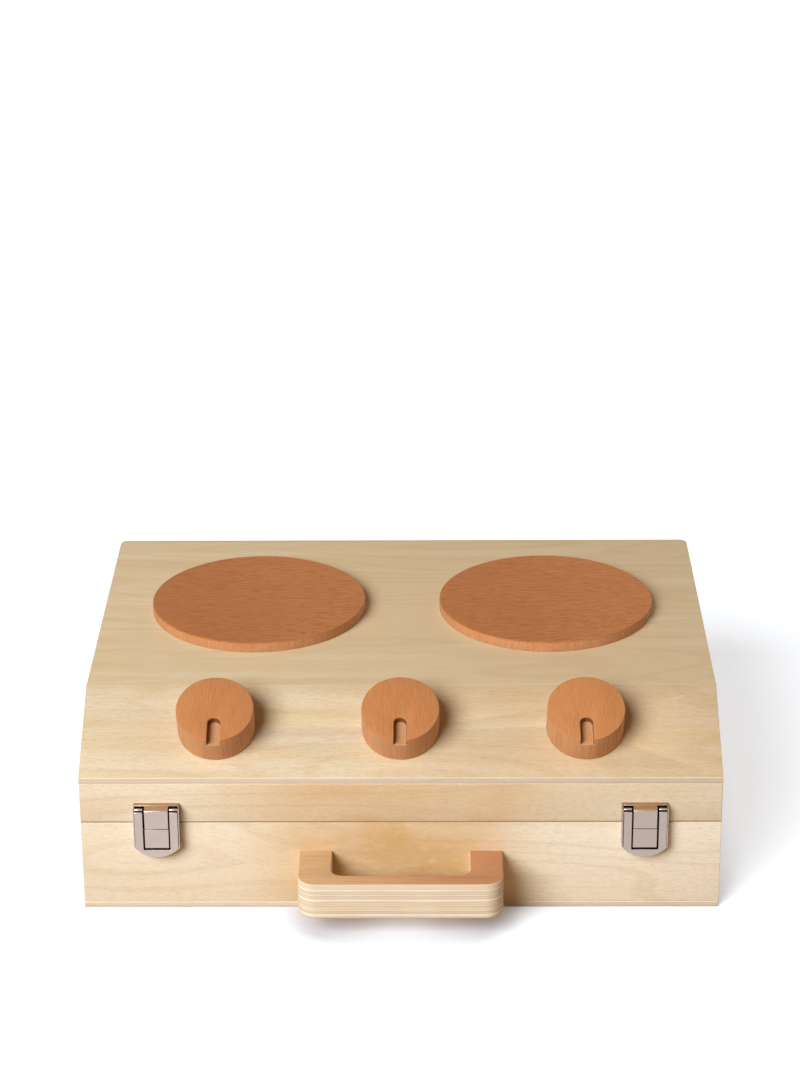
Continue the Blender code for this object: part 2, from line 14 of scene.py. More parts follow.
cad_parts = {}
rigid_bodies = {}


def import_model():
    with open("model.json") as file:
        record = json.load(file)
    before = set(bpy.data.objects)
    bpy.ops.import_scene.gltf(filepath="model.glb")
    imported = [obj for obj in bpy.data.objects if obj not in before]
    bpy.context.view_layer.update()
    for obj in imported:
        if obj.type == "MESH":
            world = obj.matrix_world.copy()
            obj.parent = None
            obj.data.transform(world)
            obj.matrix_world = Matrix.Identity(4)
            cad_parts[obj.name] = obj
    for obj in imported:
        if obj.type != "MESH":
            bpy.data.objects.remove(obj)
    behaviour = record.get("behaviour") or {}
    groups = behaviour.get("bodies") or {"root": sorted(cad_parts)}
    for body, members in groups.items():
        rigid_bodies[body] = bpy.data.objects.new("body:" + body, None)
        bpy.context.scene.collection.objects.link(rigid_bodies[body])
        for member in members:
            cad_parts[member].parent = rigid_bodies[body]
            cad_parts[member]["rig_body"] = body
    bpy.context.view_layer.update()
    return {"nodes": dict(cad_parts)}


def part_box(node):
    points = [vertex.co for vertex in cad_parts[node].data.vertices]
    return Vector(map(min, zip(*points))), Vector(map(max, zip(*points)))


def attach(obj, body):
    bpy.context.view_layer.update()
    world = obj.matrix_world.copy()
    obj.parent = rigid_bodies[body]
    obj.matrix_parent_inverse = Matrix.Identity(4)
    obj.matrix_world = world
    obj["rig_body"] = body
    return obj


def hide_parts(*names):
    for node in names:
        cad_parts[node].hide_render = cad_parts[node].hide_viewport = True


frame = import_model()

bl_info = {
    "name": "Suitcase play kitchen",
    "version": (1, 0, 0),
    "blender": (4, 5, 0),
    "location": "3D View > Sidebar > Kitchen",
    "description": "Builds the pieces and finishes of a suitcase play kitchen round its packed frame",
    "category": "Object",
}

# Case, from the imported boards
(LEFT, FRONT, UNDER), (RIGHT, BACK, SHEET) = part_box("base_bottom_panel")
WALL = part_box("base_front_panel")[1].y - FRONT
BASE_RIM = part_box("base_front_panel")[1].z
LID_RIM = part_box("lid_front_rail")[0].z
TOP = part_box("lid_top_panel")[1].z
SEAM = (BASE_RIM + LID_RIM) / 2
GAP = LID_RIM - BASE_RIM
FOOT = 0.092
SLOPE_RUN = 0.0625
RIDGE = FRONT + SLOPE_RUN
SLOPE = math.atan2(TOP - FOOT, SLOPE_RUN)
INNER_RIDGE = RIDGE + SHEET * math.tan(SLOPE / 2)
BACK_CORNER = 0.005

# Discs and knobs
DISC_LOW, DISC_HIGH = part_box("burner_left")
DISC_RADIUS = (DISC_HIGH.x - DISC_LOW.x) / 2
KNOB_RADIUS = 0.0243
KNOB_HEIGHT = 0.0211
KNOB_UP_SLOPE = 0.0374
KNOB_PITCH = 0.1156
GROOVE_WIDTH = 0.0080
GROOVE_DEPTH = 0.0050
GROOVE_START = 0.0065

# Carry handle
HANDLE_LOW, HANDLE_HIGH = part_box("carry_handle")
HANDLE_ARM = 0.0206
HANDLE_GRIP = 0.012
HANDLE_OUTER_RADIUS = 0.0115
HANDLE_INNER_RADIUS = 0.007

# Latches, measured up and down from the seam and out from the front face
LATCH_X = (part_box("latch_frame_right")[0].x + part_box("latch_frame_right")[1].x) / 2
LATCH_SHEET = 0.0008
LATCH_OUT = 0.0075
FRAME_HALF = 0.0134
FRAME_ARM = 0.0050
FRAME_DROP = 0.0206
FRAME_BAR = 0.0048
FRAME_TOP = 0.0106
FRAME_BOTTOM_RADIUS = 0.0172
WINDOW_RADIUS = 0.0007
SHELL_MARGIN = 0.0009
KEEPER_HEIGHT = 0.0135
KEEPER_LIP = 0.0023
ROOF_FALL = 0.0022
TONGUE_SPLIT = 0.0016
TONGUE_HALF = 0.00745
TONGUE_GAP = 0.0003
PIN_HEIGHT = 0.0109
PIN_OUT = 0.0046
KNUCKLE_RADIUS = 0.00095
LATCH_PIN_RADIUS = 0.0006

# Hinges
HINGE_X = (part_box("hinge_pin_right")[0].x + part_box("hinge_pin_right")[1].x) / 2
HINGE_HALF = 0.020
HINGE_LEAF = 0.013
HINGE_SHEET = 0.0010
BARREL_RADIUS = 0.0022
KNUCKLES = 5

MM = 0.001


def linear(hex_colour):
    """The linear RGBA of an sRGB hex colour."""
    shares = [int(hex_colour[i : i + 2], 16) / 255 for i in (0, 2, 4)]
    return [c / 12.92 if c <= 0.04045 else ((c + 0.055) / 1.055) ** 2.4 for c in shares] + [1.0]


def colour(name, description, hex_colour):
    return bpy.props.FloatVectorProperty(
        name=name, description=description, subtype="COLOR", size=4, min=0, max=1, default=linear(hex_colour)
    )


def length(name, description, default):
    return bpy.props.FloatProperty(
        name=name, description=description, subtype="DISTANCE", unit="LENGTH", min=0, default=default
    )


class KitchenSizes(bpy.types.PropertyGroup):
    """Sizes of the finish that a maker may want to change."""

    board_round: length("Board edge", "Rounding of the boards' sanded edges", 0.0005)
    disc_round: length("Disc rim", "Rounding of the burner discs' rims", 0.0007)
    knob_round: length("Knob rim", "Rounding of the knobs' rims", 0.0006)
    handle_round: length("Handle edge", "Rounding of the carry handle's edges", 0.0009)
    metal_round: length("Metal edge", "Rounding of the stamped metal's edges", 0.00022)
    bend_radius: length("Bend", "Inner radius of the latches' bent sheet", 0.0003)


class KitchenColours(bpy.types.PropertyGroup):
    """Colours of the woods and metals, and of painted shade and a painted reflection."""

    birch_pale: colour("Pale birch", "The lightest streaks of the birch veneer", "EDDFC7")
    birch_tan: colour("Tan birch", "The usual tone of the birch veneer", "DFC8A2")
    birch_warm: colour("Warm birch", "The flamed patches of the birch veneer", "D0A468")
    birch_line: colour("Birch line", "The thin growth lines of the birch veneer", "C49A68")
    core: colour("Plywood core", "The cross plies' end grain", "DDC9B4")
    ply: colour("Long ply", "The edges of plies whose grain runs along them", "F4E6CF")
    # Painted shade at the seam and in the knobs' grooves takes this brown, as do the handle edge's dark
    # specks
    speck_and_shade_brown: colour("Dark specks and shade", "Wood browned by a hot saw or cutter", "6E4A2C")
    glue: colour("Glue line", "The glue between the plies", "A5846A")
    beech: colour("Beech", "The steamed beech of the knobs", "CC8855")
    disc: colour("Disc beech", "The oiled beech of the burner discs", "C47B43")
    beech_fleck: colour("Beech fleck", "The short dark flecks of the beech", "A66238")
    veneer: colour("Handle veneer", "The handle's top and bottom veneer", "E2B98A")
    veneer_red: colour("Handle heartwood", "The redder end of the handle's veneer", "D0926A")
    nickel: colour("Nickel", "The latches' and hinges' plating", "BEADA3")
    # A painted reflection: the brown of the wood that the keepers' roofs mirror
    roof_wood_reflection: colour("Worn nickel", "Painted reflection of the wood on the keepers' roofs", "B98F66")
    # Painted shade: the plating made darker towards the right
    right_hand_shade: colour("Right-hand shade", "Painted shade: the plating darker towards the right", "8E7F74")
    # Painted shade: the dark that stands in for the shadow inside the latches and in their gaps
    steel: colour("Latch inside shade", "The unplated inside of the latches", "1E1B1A")
    zinc: colour("Zinc", "The screws' and pins' plating", "949592")


# Shapes


def arc(centre, radius, start, end, steps=10):
    """Points along an arc, both ends included."""
    turns = [start + (end - start) * i / steps for i in range(steps + 1)]
    return [(centre[0] + radius * math.cos(a), centre[1] + radius * math.sin(a)) for a in turns]


def rectangle(x_low, x_high, y_low, y_high):
    return [(x_low, y_low), (x_high, y_low), (x_high, y_high), (x_low, y_high)]


def solid(rings):
    """A closed shape through rings of points, with flat ends. Every ring has as many points."""
    shape = bmesh.new()
    loops = [[shape.verts.new(point) for point in ring] for ring in rings]
    for lower, upper in zip(loops, loops[1:]):
        for i in range(len(lower)):
            j = (i + 1) % len(lower)
            shape.faces.new((lower[i], lower[j], upper[j], upper[i]))
    shape.faces.new(loops[0])
    shape.faces.new(loops[-1])
    bmesh.ops.recalc_face_normals(shape, faces=shape.faces)
    return shape


def prism(outline, low, high):
    return solid([[(x, y, z) for x, y in outline] for z in (low, high)])


def block(x_range, y_range, z_range):
    return prism(rectangle(*x_range, *y_range), *z_range)


def tube(radius, x_low, x_high, y, z, sides=32):
    """A round bar along X."""
    turns = [math.tau * i / sides for i in range(sides)]
    around = [(y + radius * math.cos(a), z + radius * math.sin(a)) for a in turns]
    return solid([[(x, *point) for point in around] for x in (x_low, x_high)])


def rounded(shape, radius, segments=2, sharper_than=math.radians(40), only=None):
    """Rounds the edges that turn by more than the angle, or those of them that only picks."""
    edges = [e for e in shape.edges if e.calc_face_angle(0) > sharper_than and (not only or only(e))]
    bmesh.ops.bevel(
        shape, geom=edges, offset=radius, segments=segments, profile=0.5, affect="EDGES", clamp_overlap=True
    )
    return shape


def finished(shape, number):
    """The shape with all its faces in the finish of that number."""
    for face in shape.faces:
        face.material_index = number
    return shape


def moved(shape, where):
    bmesh.ops.transform(shape, matrix=where, verts=shape.verts)
    return shape


def mesh_of(shape, name="part"):
    """A mesh made from the shape, which is then freed."""
    mesh = bpy.data.meshes.new(name)
    shape.to_mesh(mesh)
    shape.free()
    return mesh


def linked(name, data):
    """A new object in the scene."""
    obj = bpy.data.objects.new(name, data)
    bpy.context.scene.collection.objects.link(obj)
    return obj


def as_piece(name, mesh, body, nodes):
    """A mesh as a piece that rides on a body and stands for CAD nodes."""
    if not mesh.polygons:
        raise RuntimeError(f"{name} came out with no faces")
    obj = linked(name, mesh)
    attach(obj, body)
    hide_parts(*nodes)


def piece(name, shapes, finishes, body, nodes, pick=None, flat_above=12.0):
    """One piece from closed shapes.

    pick(face) gives the number of a face's finish, which is otherwise its shape's. A face larger than
    flat_above, in square millimetres, or with more than four corners stays flat, so that its edges'
    rounding doesn't shade it.
    """
    joined = bmesh.new()
    for shape in shapes:
        part = mesh_of(shape)
        joined.from_mesh(part)
        bpy.data.meshes.remove(part)
    for face in joined.faces:
        if pick:
            face.material_index = pick(face)
        face.smooth = len(face.verts) <= 4 and face.calc_area() < flat_above * MM * MM
    mesh = mesh_of(joined, name)
    mesh.set_sharp_from_angle(angle=math.radians(45))
    for finish in finishes:
        mesh.materials.append(finish)
    as_piece(name, mesh, body, nodes)


# Places. A place's axes are written in the case's


def axes(origin, x, y, z):
    """The place whose X, Y and Z run along the three directions."""
    place = Matrix((x, y, z)).transposed().to_4x4()
    place.translation = origin
    return place


def seen_aside(outline, x_low, x_high):
    """A prism along X. Its outline's X and Y are the place's Y and Z, as seen from the side."""
    return moved(prism(outline, x_low, x_high), axes((0, 0, 0), (0, 1, 0), (0, 0, 1), (1, 0, 0)))


def on_front(x, z):
    """On the front face: X right, Y up, Z out."""
    return axes((x, FRONT, z), (1, 0, 0), (0, 0, 1), (0, -1, 0))


def on_back(x, z):
    """On the back face: X left, Y up, Z out."""
    return axes((x, BACK, z), (-1, 0, 0), (0, 0, 1), (0, 1, 0))


def on_slope(x, up):
    """On the slope, up from its front edge: X right, Y up the slope, Z out of it."""
    along = Vector((0, math.cos(SLOPE), math.sin(SLOPE)))
    out = Vector((0, -math.sin(SLOPE), math.cos(SLOPE)))
    return axes(Vector((x, FRONT, FOOT)) + along * up, (1, 0, 0), along, out)


# Where each ply ends, as a share of the board's thickness
SHEET_PLY_SHARES = (0.17, 0.83, 1.0)
WALL_PLY_SHARES = (0.11, 0.26, 0.42, 0.58, 0.74, 0.89, 1.0)

# A board's finish is laid out in the board's own place: X along the grain, Z down into the board
BOARD_PLACES = {
    "bottom": axes((0, 0, UNDER), (1, 0, 0), (0, -1, 0), (0, 0, 1)),
    "top": axes((0, 0, TOP), (1, 0, 0), (0, 1, 0), (0, 0, -1)),
    "front": axes((0, FRONT, 0), (1, 0, 0), (0, 0, -1), (0, 1, 0)),
    "back": axes((0, BACK, 0), (-1, 0, 0), (0, 0, -1), (0, -1, 0)),
    "left": axes((LEFT, 0, 0), (0, -1, 0), (0, 0, -1), (1, 0, 0)),
    "right": axes((RIGHT, 0, 0), (0, 1, 0), (0, 0, -1), (-1, 0, 0)),
    "slope": on_slope(0, 0) @ Matrix.Diagonal((1, -1, -1, 1)),
}
THIN_SIDES = ("bottom", "top", "slope")

# How the veneers in the photograph differ from the usual one
BOARD_LOOKS = {
    "base_front_panel": {
        "tan": -0.1, "warmth": 0.92, "warm_from": -0.07, "warm_to": 0.06, "fibre": 0.7, "fibre_long": 4,
        "pale": 0.9,
    },
    "lid_front_rail": {
        "tan": 0.12, "warmth": 0.7, "warm_from": -0.09, "warm_to": 0.08, "fibre": 0.8, "fibre_long": 4,
    },
    "lid_slope_panel": {
        "tan": 0.72, "warmth": 0.35, "warm_from": 0.02, "warm_to": 0.3, "fibre": 0.9, "fibre_long": 5,
    },
    "lid_top_panel": {
        "tan": 1.0, "warmth": 0.14, "warm_from": -0.2, "warm_to": 0.2, "fibre": 0.3, "fibre_long": 8,
    },
}

# The middle of each knob, from the middle of the case
KNOB_PLACES = {"left": -KNOB_PITCH, "middle": 0.0, "right": KNOB_PITCH}


# Materials


def add(tree, kind, inputs=None, stops=None, **settings):
    """Adds a node with its settings, its ramp stops, and its inputs set or linked."""
    made = tree.nodes.new(kind)
    for name, value in settings.items():
        setattr(made, name, value)
    for number, (share, tone) in enumerate(stops or []):
        ramp = made.color_ramp.elements
        stop = ramp[number] if number < 1 else ramp.new(share)
        stop.position = share
        stop.color = tone
    if stops:
        made.color_ramp.elements.remove(made.color_ramp.elements[-1])
    for key, value in (inputs or {}).items():
        if isinstance(value, bpy.types.NodeSocket):
            tree.links.new(value, made.inputs[key])
        else:
            made.inputs[key].default_value = value
    return made


def new_material(name):
    """A material whose default nodes are cleared, and its tree."""
    made = bpy.data.materials.new(name)
    made.use_nodes = True
    made.node_tree.nodes.clear()
    return made, made.node_tree


def output(tree, kind, inputs=None, **settings):
    """The first output of a new node."""
    return add(tree, kind, inputs, **settings).outputs[0]


def close(tree, tone, roughness, height, strength, depth, metallic=0.0):
    """The shader that ends a material, its surface raised by the height, by depth metres at most."""
    bump = output(tree, "ShaderNodeBump", {"Strength": strength, "Distance": depth, "Height": height})
    inputs = {"Base Color": tone, "Roughness": roughness, "Metallic": metallic, "Normal": bump}
    if not metallic:
        # Sanded bare wood scatters what falls on it at a glance, so its sheen is weaker than a varnish's
        inputs["Specular IOR Level"] = 0.14
    shader = output(tree, "ShaderNodeBsdfPrincipled", inputs)
    add(tree, "ShaderNodeOutputMaterial", {"Surface": shader})


def begun(name, place, seed=0.0):
    """A new material, its tree, the colours, and a place's coordinates, as they are and slid by the seed.

    The seed is in metres, so that no two boards match.
    """
    made, tree = new_material(name)
    local = in_place(tree, place)
    return made, tree, bpy.context.scene.kitchen_colours, local, slid(tree, local, seed)


def in_place(tree, place):
    """Object coordinates in a place's own axes."""
    where = place.inverted()
    source = add(tree, "ShaderNodeTexCoord").outputs["Object"]
    inputs = {"Vector": source, "Location": where.translation, "Rotation": where.to_euler()}
    return output(tree, "ShaderNodeMapping", inputs)


def slid(tree, coords, seed):
    shift = (seed, seed * 0.7, 0.0)
    return output(tree, "ShaderNodeVectorMath", {0: coords, 1: shift}, operation="ADD")


def axis(tree, coords, index):
    return add(tree, "ShaderNodeSeparateXYZ", {0: coords}).outputs[index]


def streaks(tree, coords, along, wide, detail=2.0, distortion=0.0):
    """Noise drawn out along X, its streaks about that many millimetres long and wide."""
    size = (1 / (along * MM), 1 / (wide * MM), 1 / (wide * MM))
    scaled = output(tree, "ShaderNodeVectorMath", {0: coords, 1: size}, operation="MULTIPLY")
    inputs = {"Vector": scaled, "Scale": 1.0, "Detail": detail, "Distortion": distortion}
    return output(tree, "ShaderNodeTexNoise", inputs)


def between(tree, value, low, high, least=0.0, most=1.0):
    """A value's smooth step from low to high, as a number from least to most."""
    inputs = {"Value": value, "From Min": low, "From Max": high, "To Min": least, "To Max": most}
    return output(tree, "ShaderNodeMapRange", inputs, interpolation_type="SMOOTHSTEP")


def mixed(tree, amount, base, over):
    return add(tree, "ShaderNodeMix", {0: amount, 6: base, 7: over}, data_type="RGBA").outputs[2]


def tinted(tree, base, over, most, value, low, high):
    """The base under the other tone, which is as strong as most where the value has risen to high."""
    return mixed(tree, between(tree, value, low, high, 0.0, most), base, over)


def number(tree, operation, first, second=0.0):
    return output(tree, "ShaderNodeMath", {0: first, 1: second}, operation=operation)


def times(tree, first, second):
    return number(tree, "MULTIPLY", first, second)


def apart(tree, first, second):
    """How far two numbers are apart."""
    return number(tree, "ABSOLUTE", number(tree, "SUBTRACT", first, second))


def wavy(tree, coords, along, wide, sway):
    """Coordinates whose across direction sways by some millimetres, as a grown trunk's grain does."""
    bend = number(tree, "SUBTRACT", streaks(tree, coords, along, wide, 1.0), 0.5)
    offset = times(tree, bend, sway * MM)
    sideways = output(tree, "ShaderNodeCombineXYZ", {"Y": offset, "Z": offset})
    return output(tree, "ShaderNodeVectorMath", {0: coords, 1: sideways}, operation="ADD")


def seam_shaded(tree, tone, share=1.0):
    """The tone, browned by a share beside the seam: painted shade for the narrow gap between base and lid.
    """
    z = axis(tree, add(tree, "ShaderNodeTexCoord").outputs["Object"], 2)
    brown = between(tree, apart(tree, z, SEAM), GAP / 2, GAP / 2 + 0.4 * MM, 0.8, 0.0)
    return mixed(tree, times(tree, brown, share), tone, bpy.context.scene.kitchen_colours.speck_and_shade_brown)


def birch_veneer(
    name, place, seed,
    tan=0.5, warmth=0.35, warm_from=-0.06, warm_to=0.08, fibre=1.0, fibre_long=5.5, pale=0.0,
):
    """Rotary-cut birch veneer, sanded and left bare.

    The eye gets a pale satin wood with short fine fibres, faint long streaks, growth lines, flamed warm
    clouds and a rare dark pore. tan is the board's place between the pale and the tan tone, its warm
    clouds lie mostly between warm_from and warm_to along the grain, and fibre is how far its fibres show,
    which are fibre_long millimetres long. pale is how much paler sapwood its right end has.
    """
    made, tree, tones, local, own = begun(name, place, seed)
    grain = wavy(tree, own, 160, 45, 6)
    bands = streaks(tree, grain, 300, 16, 3)
    lines = streaks(tree, grain, 70, 1.8, 3)
    # Real fibres are about 0.1 mm wide; these are 0.7 mm, the finest that a render of the whole case shows
    fibres = streaks(tree, grain, fibre_long, 0.7, 1)
    curls = streaks(tree, wavy(tree, own, 14, 14, 9), 9, 3.6, 1, 0.5)
    clouds = streaks(tree, own, 60, 34, 3, 0.4)
    pores = streaks(tree, own, 2.6, 1.1, 0)
    rings = number(tree, "SINE", times(tree, streaks(tree, own, 420, 70, 1), 85))

    banded = between(tree, bands, 0.3, 0.7, tan - 0.3, tan + 0.3)
    tone = mixed(tree, banded, tones.birch_pale, tones.birch_tan)
    x = axis(tree, local, 0)
    half = (warm_to - warm_from) / 2
    reach = apart(tree, x, (warm_from + warm_to) / 2)
    zone = between(tree, reach, half * 0.6, half * 1.6, 1.0, 0.12)
    flame = times(tree, between(tree, clouds, 0.3, 0.7, 0.6 * warmth, warmth), zone)
    tone = mixed(tree, flame, tone, tones.birch_warm)
    if pale:
        tone = tinted(tree, tone, tones.ply, pale, x, 0.03, 0.13)
    curled = times(tree, between(tree, curls, 0.46, 0.78, 0.0, 0.22), flame)
    tone = mixed(tree, curled, tone, tones.birch_pale)
    tone = tinted(tree, tone, tones.birch_line, 0.14, rings, 0.4, 1.0)
    tone = tinted(tree, tone, tones.birch_line, 0.18 * fibre, lines, 0.52, 0.78)
    tone = tinted(tree, tone, tones.birch_line, 0.30 * fibre, fibres, 0.42, 0.72)
    tone = tinted(tree, tone, tones.beech_fleck, 0.3, pores, 0.84, 0.90)
    relief = number(tree, "ADD", fibres, lines)
    # Painted shade: the veneer browned beside the seam
    close(tree, seam_shaded(tree, tone), between(tree, fibres, 0.3, 0.7, 0.56, 0.68), relief, 0.2, 0.05 * MM)
    return made


def ply_share(tree, local, own, thick, wave, sway):
    """How deep in the board a point lies, as a share of its thickness.

    The plies sway by some millimetres, in waves about wave millimetres long.
    """
    drift = number(tree, "SUBTRACT", streaks(tree, own, wave, wave, 2), 0.5)
    swayed = number(tree, "ADD", axis(tree, local, 2), times(tree, drift, sway * MM))
    return number(tree, "DIVIDE", swayed, thick)


def plywood_edge(name, place, thick, plies, seed):
    """The saw-cut and sanded edge of birch plywood.

    Plies whose grain runs along the edge look cream and bright, and the cross plies between them show
    end grain, greyer and speckled, with a thin brown glue line at each joint.
    """
    made, tree, tones, local, own = begun(name, place, seed)
    glue_share = 0.13 * MM / thick
    stops, start = [], 0.0
    for ply, end in enumerate(plies):
        tone = tones.core if ply % 2 else tones.ply
        stops += [(start + glue_share, tone), (end - glue_share, tone)]
        if end < 1:
            stops.append((end, tones.glue))
        start = end
    share = ply_share(tree, local, own, thick, 70, 0.4)
    tone = output(tree, "ShaderNodeValToRGB", {"Fac": share}, stops=stops)
    specks = streaks(tree, own, 0.9, 0.9, 2)
    tone = tinted(tree, tone, tones.glue, 0.22, specks, 0.50, 0.75)
    tone = tinted(tree, tone, tones.birch_line, 0.18, streaks(tree, own, 24, 2, 2), 0.48, 0.72)
    # Painted shade: the plies browned beside the seam, most near the face
    tone = seam_shaded(tree, tone, between(tree, axis(tree, local, 2), 0.4 * MM, 0.9 * MM, 1.0, 0.0))
    close(tree, tone, 0.62, specks, 0.3, 0.08 * MM)
    return made


def beech(name, place, seed, base, top, fleck_long=4.5, fleck_strong=0.6, pitch=0.0, shaded_groove=False):
    """Steamed beech, turned and sanded with a thin oil.

    The eye gets an even reddish brown with short dark flecks along the grain and a soft sheen, and below
    the height top, on the turned sides, a lighter brown with fine upright lines. With a pitch, each
    turned piece along X, one to a pitch, is darker on its left and lighter towards its right, which is
    painted light and shade. A knob's groove has painted shade on its walls.
    """
    made, tree, tones, local, own = begun(name, place, seed)
    grain = wavy(tree, own, 16, 7, 2.2)
    flecks = streaks(tree, grain, fleck_long, 0.5, 2)
    fibres = streaks(tree, grain, 22, 0.8, 2)
    tone = tinted(tree, base, tones.beech_fleck, 0.14, streaks(tree, grain, 90, 40, 2), 0.35, 0.65)
    x, y, z = (axis(tree, local, index) for index in range(3))
    # Painted light and shade: each turned piece darker on its left, lighter towards its right
    if pitch:
        turn = times(tree, number(tree, "ADD", x, pitch / 2), math.tau / pitch)
        swing = number(tree, "SINE", turn)
        tone = tinted(tree, tone, tones.beech_fleck, 0.16, swing, 0.2, -1.0)
        tone = tinted(tree, tone, tones.beech, 0.22, swing, 0.0, 1.0)
    tone = tinted(tree, tone, tones.beech_fleck, fleck_strong, flecks, 0.46, 0.68)
    tone = tinted(tree, tone, tones.birch_warm, 0.18, fibres, 0.48, 0.72)

    upright = in_place(tree, place @ Matrix.Rotation(math.pi / 2, 4, "Y"))
    lines = streaks(tree, slid(tree, upright, seed), 60, 1.0, 2)
    turned = between(tree, z, top - 1.2 * MM, top - 0.6 * MM, 1.0, 0.0)
    tone = mixed(tree, times(tree, turned, 0.20), tone, tones.birch_tan)
    lined = times(tree, between(tree, lines, 0.45, 0.70, 0.0, 0.36), turned)
    tone = mixed(tree, lined, tone, tones.beech_fleck)
    # Painted shade on the groove's walls, in the dark brown
    if shaded_groove:
        half = GROOVE_WIDTH / 2
        past = number(tree, "MAXIMUM", number(tree, "ADD", x, GROOVE_START + half), 0.0)
        spoke = output(tree, "ShaderNodeCombineXYZ", {"X": past, "Y": y})
        reach = add(tree, "ShaderNodeVectorMath", {0: spoke}, operation="LENGTH").outputs["Value"]
        wall = between(tree, apart(tree, reach, half), 0.2 * MM, 0.5 * MM, 0.9, 0.0)
        low = top - GROOVE_DEPTH
        over_floor = between(tree, z, low - 0.1 * MM, low + 0.3 * MM)
        inside = times(tree, between(tree, z, top - 1.3 * MM, top - 0.5 * MM, 1.0, 0.0), over_floor)
        tone = mixed(tree, times(tree, wall, inside), tone, tones.speck_and_shade_brown)
    relief = number(tree, "SUBTRACT", fibres, flecks)
    close(tree, tone, between(tree, flecks, 0.3, 0.7, 0.50, 0.62), relief, 0.3, 0.08 * MM)
    return made


def handle_veneer(name, place, seed):
    """The hardwood face veneer of the handle's thick plywood, sanded.

    The eye gets a tan with faint straight grain that turns redder towards the right, where the leaf's
    heartwood starts.
    """
    made, tree, tones, local, own = begun(name, place, seed)
    grain = wavy(tree, own, 60, 20, 2)
    lines = streaks(tree, grain, 30, 1.1, 3)
    tone = tinted(tree, tones.veneer, tones.veneer_red, 1.0, axis(tree, local, 0), -0.05, 0.06)
    tone = tinted(tree, tone, tones.birch_line, 0.20, streaks(tree, grain, 150, 7, 2), 0.35, 0.65)
    tone = tinted(tree, tone, tones.beech_fleck, 0.28, lines, 0.45, 0.75)
    close(tree, tone, between(tree, lines, 0.3, 0.7, 0.45, 0.58), lines, 0.25, 0.06 * MM)
    return made


def handle_edge(name, place, thick):
    """The routed edge of thick birch plywood, a dozen plies following the handle's curve.

    Cream long-grain plies stand between greyer cross plies, and some are tanner, as plies from
    different logs are.
    """
    made, tree, tones, local, own = begun(name, place, 0.9)
    share = ply_share(tree, local, own, thick, 60, 0.7)
    bright, cream, grey, tan = (linear(h) for h in ("F8EAD4", "EDDCC1", "DFCDB3", "E6D0B2"))
    # Each ply's lower face as a share of the thickness, from the top down, and its tone
    ply_shares = [
        (0.15, tan), (0.20, bright), (0.29, grey), (0.34, cream), (0.43, grey), (0.50, bright),
        (0.66, tan), (0.72, cream), (0.79, cream), (0.85, grey), (0.94, bright), (1.0, tan),
    ]
    glue_share = 0.006
    stops, start, dark = [], 0.0, 0.0
    for end, tone in ply_shares:
        stops.append((start + glue_share if start else 0.0, tone))
        stops.append((end - glue_share, tone))
        if end < 1:
            line = between(tree, apart(tree, share, end), 0.002, 0.011, 0.55, 0.0)
            dark = number(tree, "MAXIMUM", dark, line)
        start = end
    tone = output(tree, "ShaderNodeValToRGB", {"Fac": share}, stops=stops)
    broken = between(tree, streaks(tree, own, 30, 30, 2), 0.35, 0.6, 0.25, 1.0)
    tone = mixed(tree, times(tree, dark, broken), tone, tones.glue)
    specks = streaks(tree, own, 1.1, 0.7, 2)
    tone = tinted(tree, tone, tones.core, 0.25, specks, 0.52, 0.75)
    tone = tinted(tree, tone, tones.birch_warm, 0.12, streaks(tree, own, 26, 1.6, 2), 0.45, 0.70)
    tone = tinted(tree, tone, tones.speck_and_shade_brown, 0.6, streaks(tree, own, 1.6, 0.9, 0), 0.85, 0.89)
    close(tree, tone, 0.6, specks, 0.3, 0.08 * MM)
    return made


def nickel(name, worn=0.0):
    """Nickel-plated steel sheet, stamped and barrel-polished.

    The eye gets a warm satin grey with faint rubbing marks, a little darker towards the right, which is
    painted shade, and, as far as the second argument asks, a brown that is a painted reflection of the wood.
    """
    made, tree, tones, local, own = begun(name, Matrix.Identity(4))
    haze = streaks(tree, own, 9, 9, 2)
    tone = tinted(tree, tones.nickel, tones.core, 0.08, haze, 0.35, 0.70)
    # Painted shade: darker towards the right
    tone = tinted(tree, tone, tones.right_hand_shade, 0.34, axis(tree, local, 0), -0.1, 0.1)
    # Painted reflection of the wood, as strong as the second argument asks
    tone = mixed(tree, worn, tone, tones.roof_wood_reflection)
    rubs = streaks(tree, own, 0.6, 5, 2)
    close(tree, tone, between(tree, haze, 0.3, 0.7, 0.22, 0.32), rubs, 0.05, 0.02 * MM, metallic=1.0)
    return made


def shaded_latch_inside(name):
    """Painted shade for the latches' insides and narrow gaps: a dark, dull metal that stands in for their
    shadow.
    """
    made, tree, tones, _, own = begun(name, Matrix.Identity(4))
    haze = streaks(tree, own, 3, 3, 2)
    tone = tinted(tree, tones.steel, tones.glue, 0.1, haze, 0.4, 0.7)
    close(tree, tone, 0.7, haze, 0.1, 0.02 * MM, metallic=1.0)
    return made


def zinc(name):
    """Zinc-plated steel of screws and pins: a cooler grey, a little grainy from the bath."""
    made, tree, tones, _, own = begun(name, Matrix.Identity(4))
    grain = streaks(tree, own, 0.5, 0.5, 2)
    tone = tinted(tree, tones.zinc, tones.core, 0.15, grain, 0.4, 0.7)
    close(tree, tone, between(tree, grain, 0.3, 0.7, 0.30, 0.42), grain, 0.1, 0.02 * MM, metallic=1.0)
    return made


def found(name, make):
    """The material of that name, made on its first use."""
    return bpy.data.materials.get(name) or make(name)


# Pieces


def plan(front, back):
    """The plan of a full-width board, its two back corners rounded."""
    turn_y = back - BACK_CORNER
    return [
        (LEFT, front),
        (RIGHT, front),
        *arc((RIGHT - BACK_CORNER, turn_y), BACK_CORNER, 0.0, math.pi / 2),
        *arc((LEFT + BACK_CORNER, turn_y), BACK_CORNER, math.pi / 2, math.pi),
    ]


def slope_top(y):
    """The height of the slope panel's top face."""
    return FOOT + (y - FRONT) * math.tan(SLOPE)


def slope_under(y):
    return slope_top(y) - SHEET / math.cos(SLOPE)


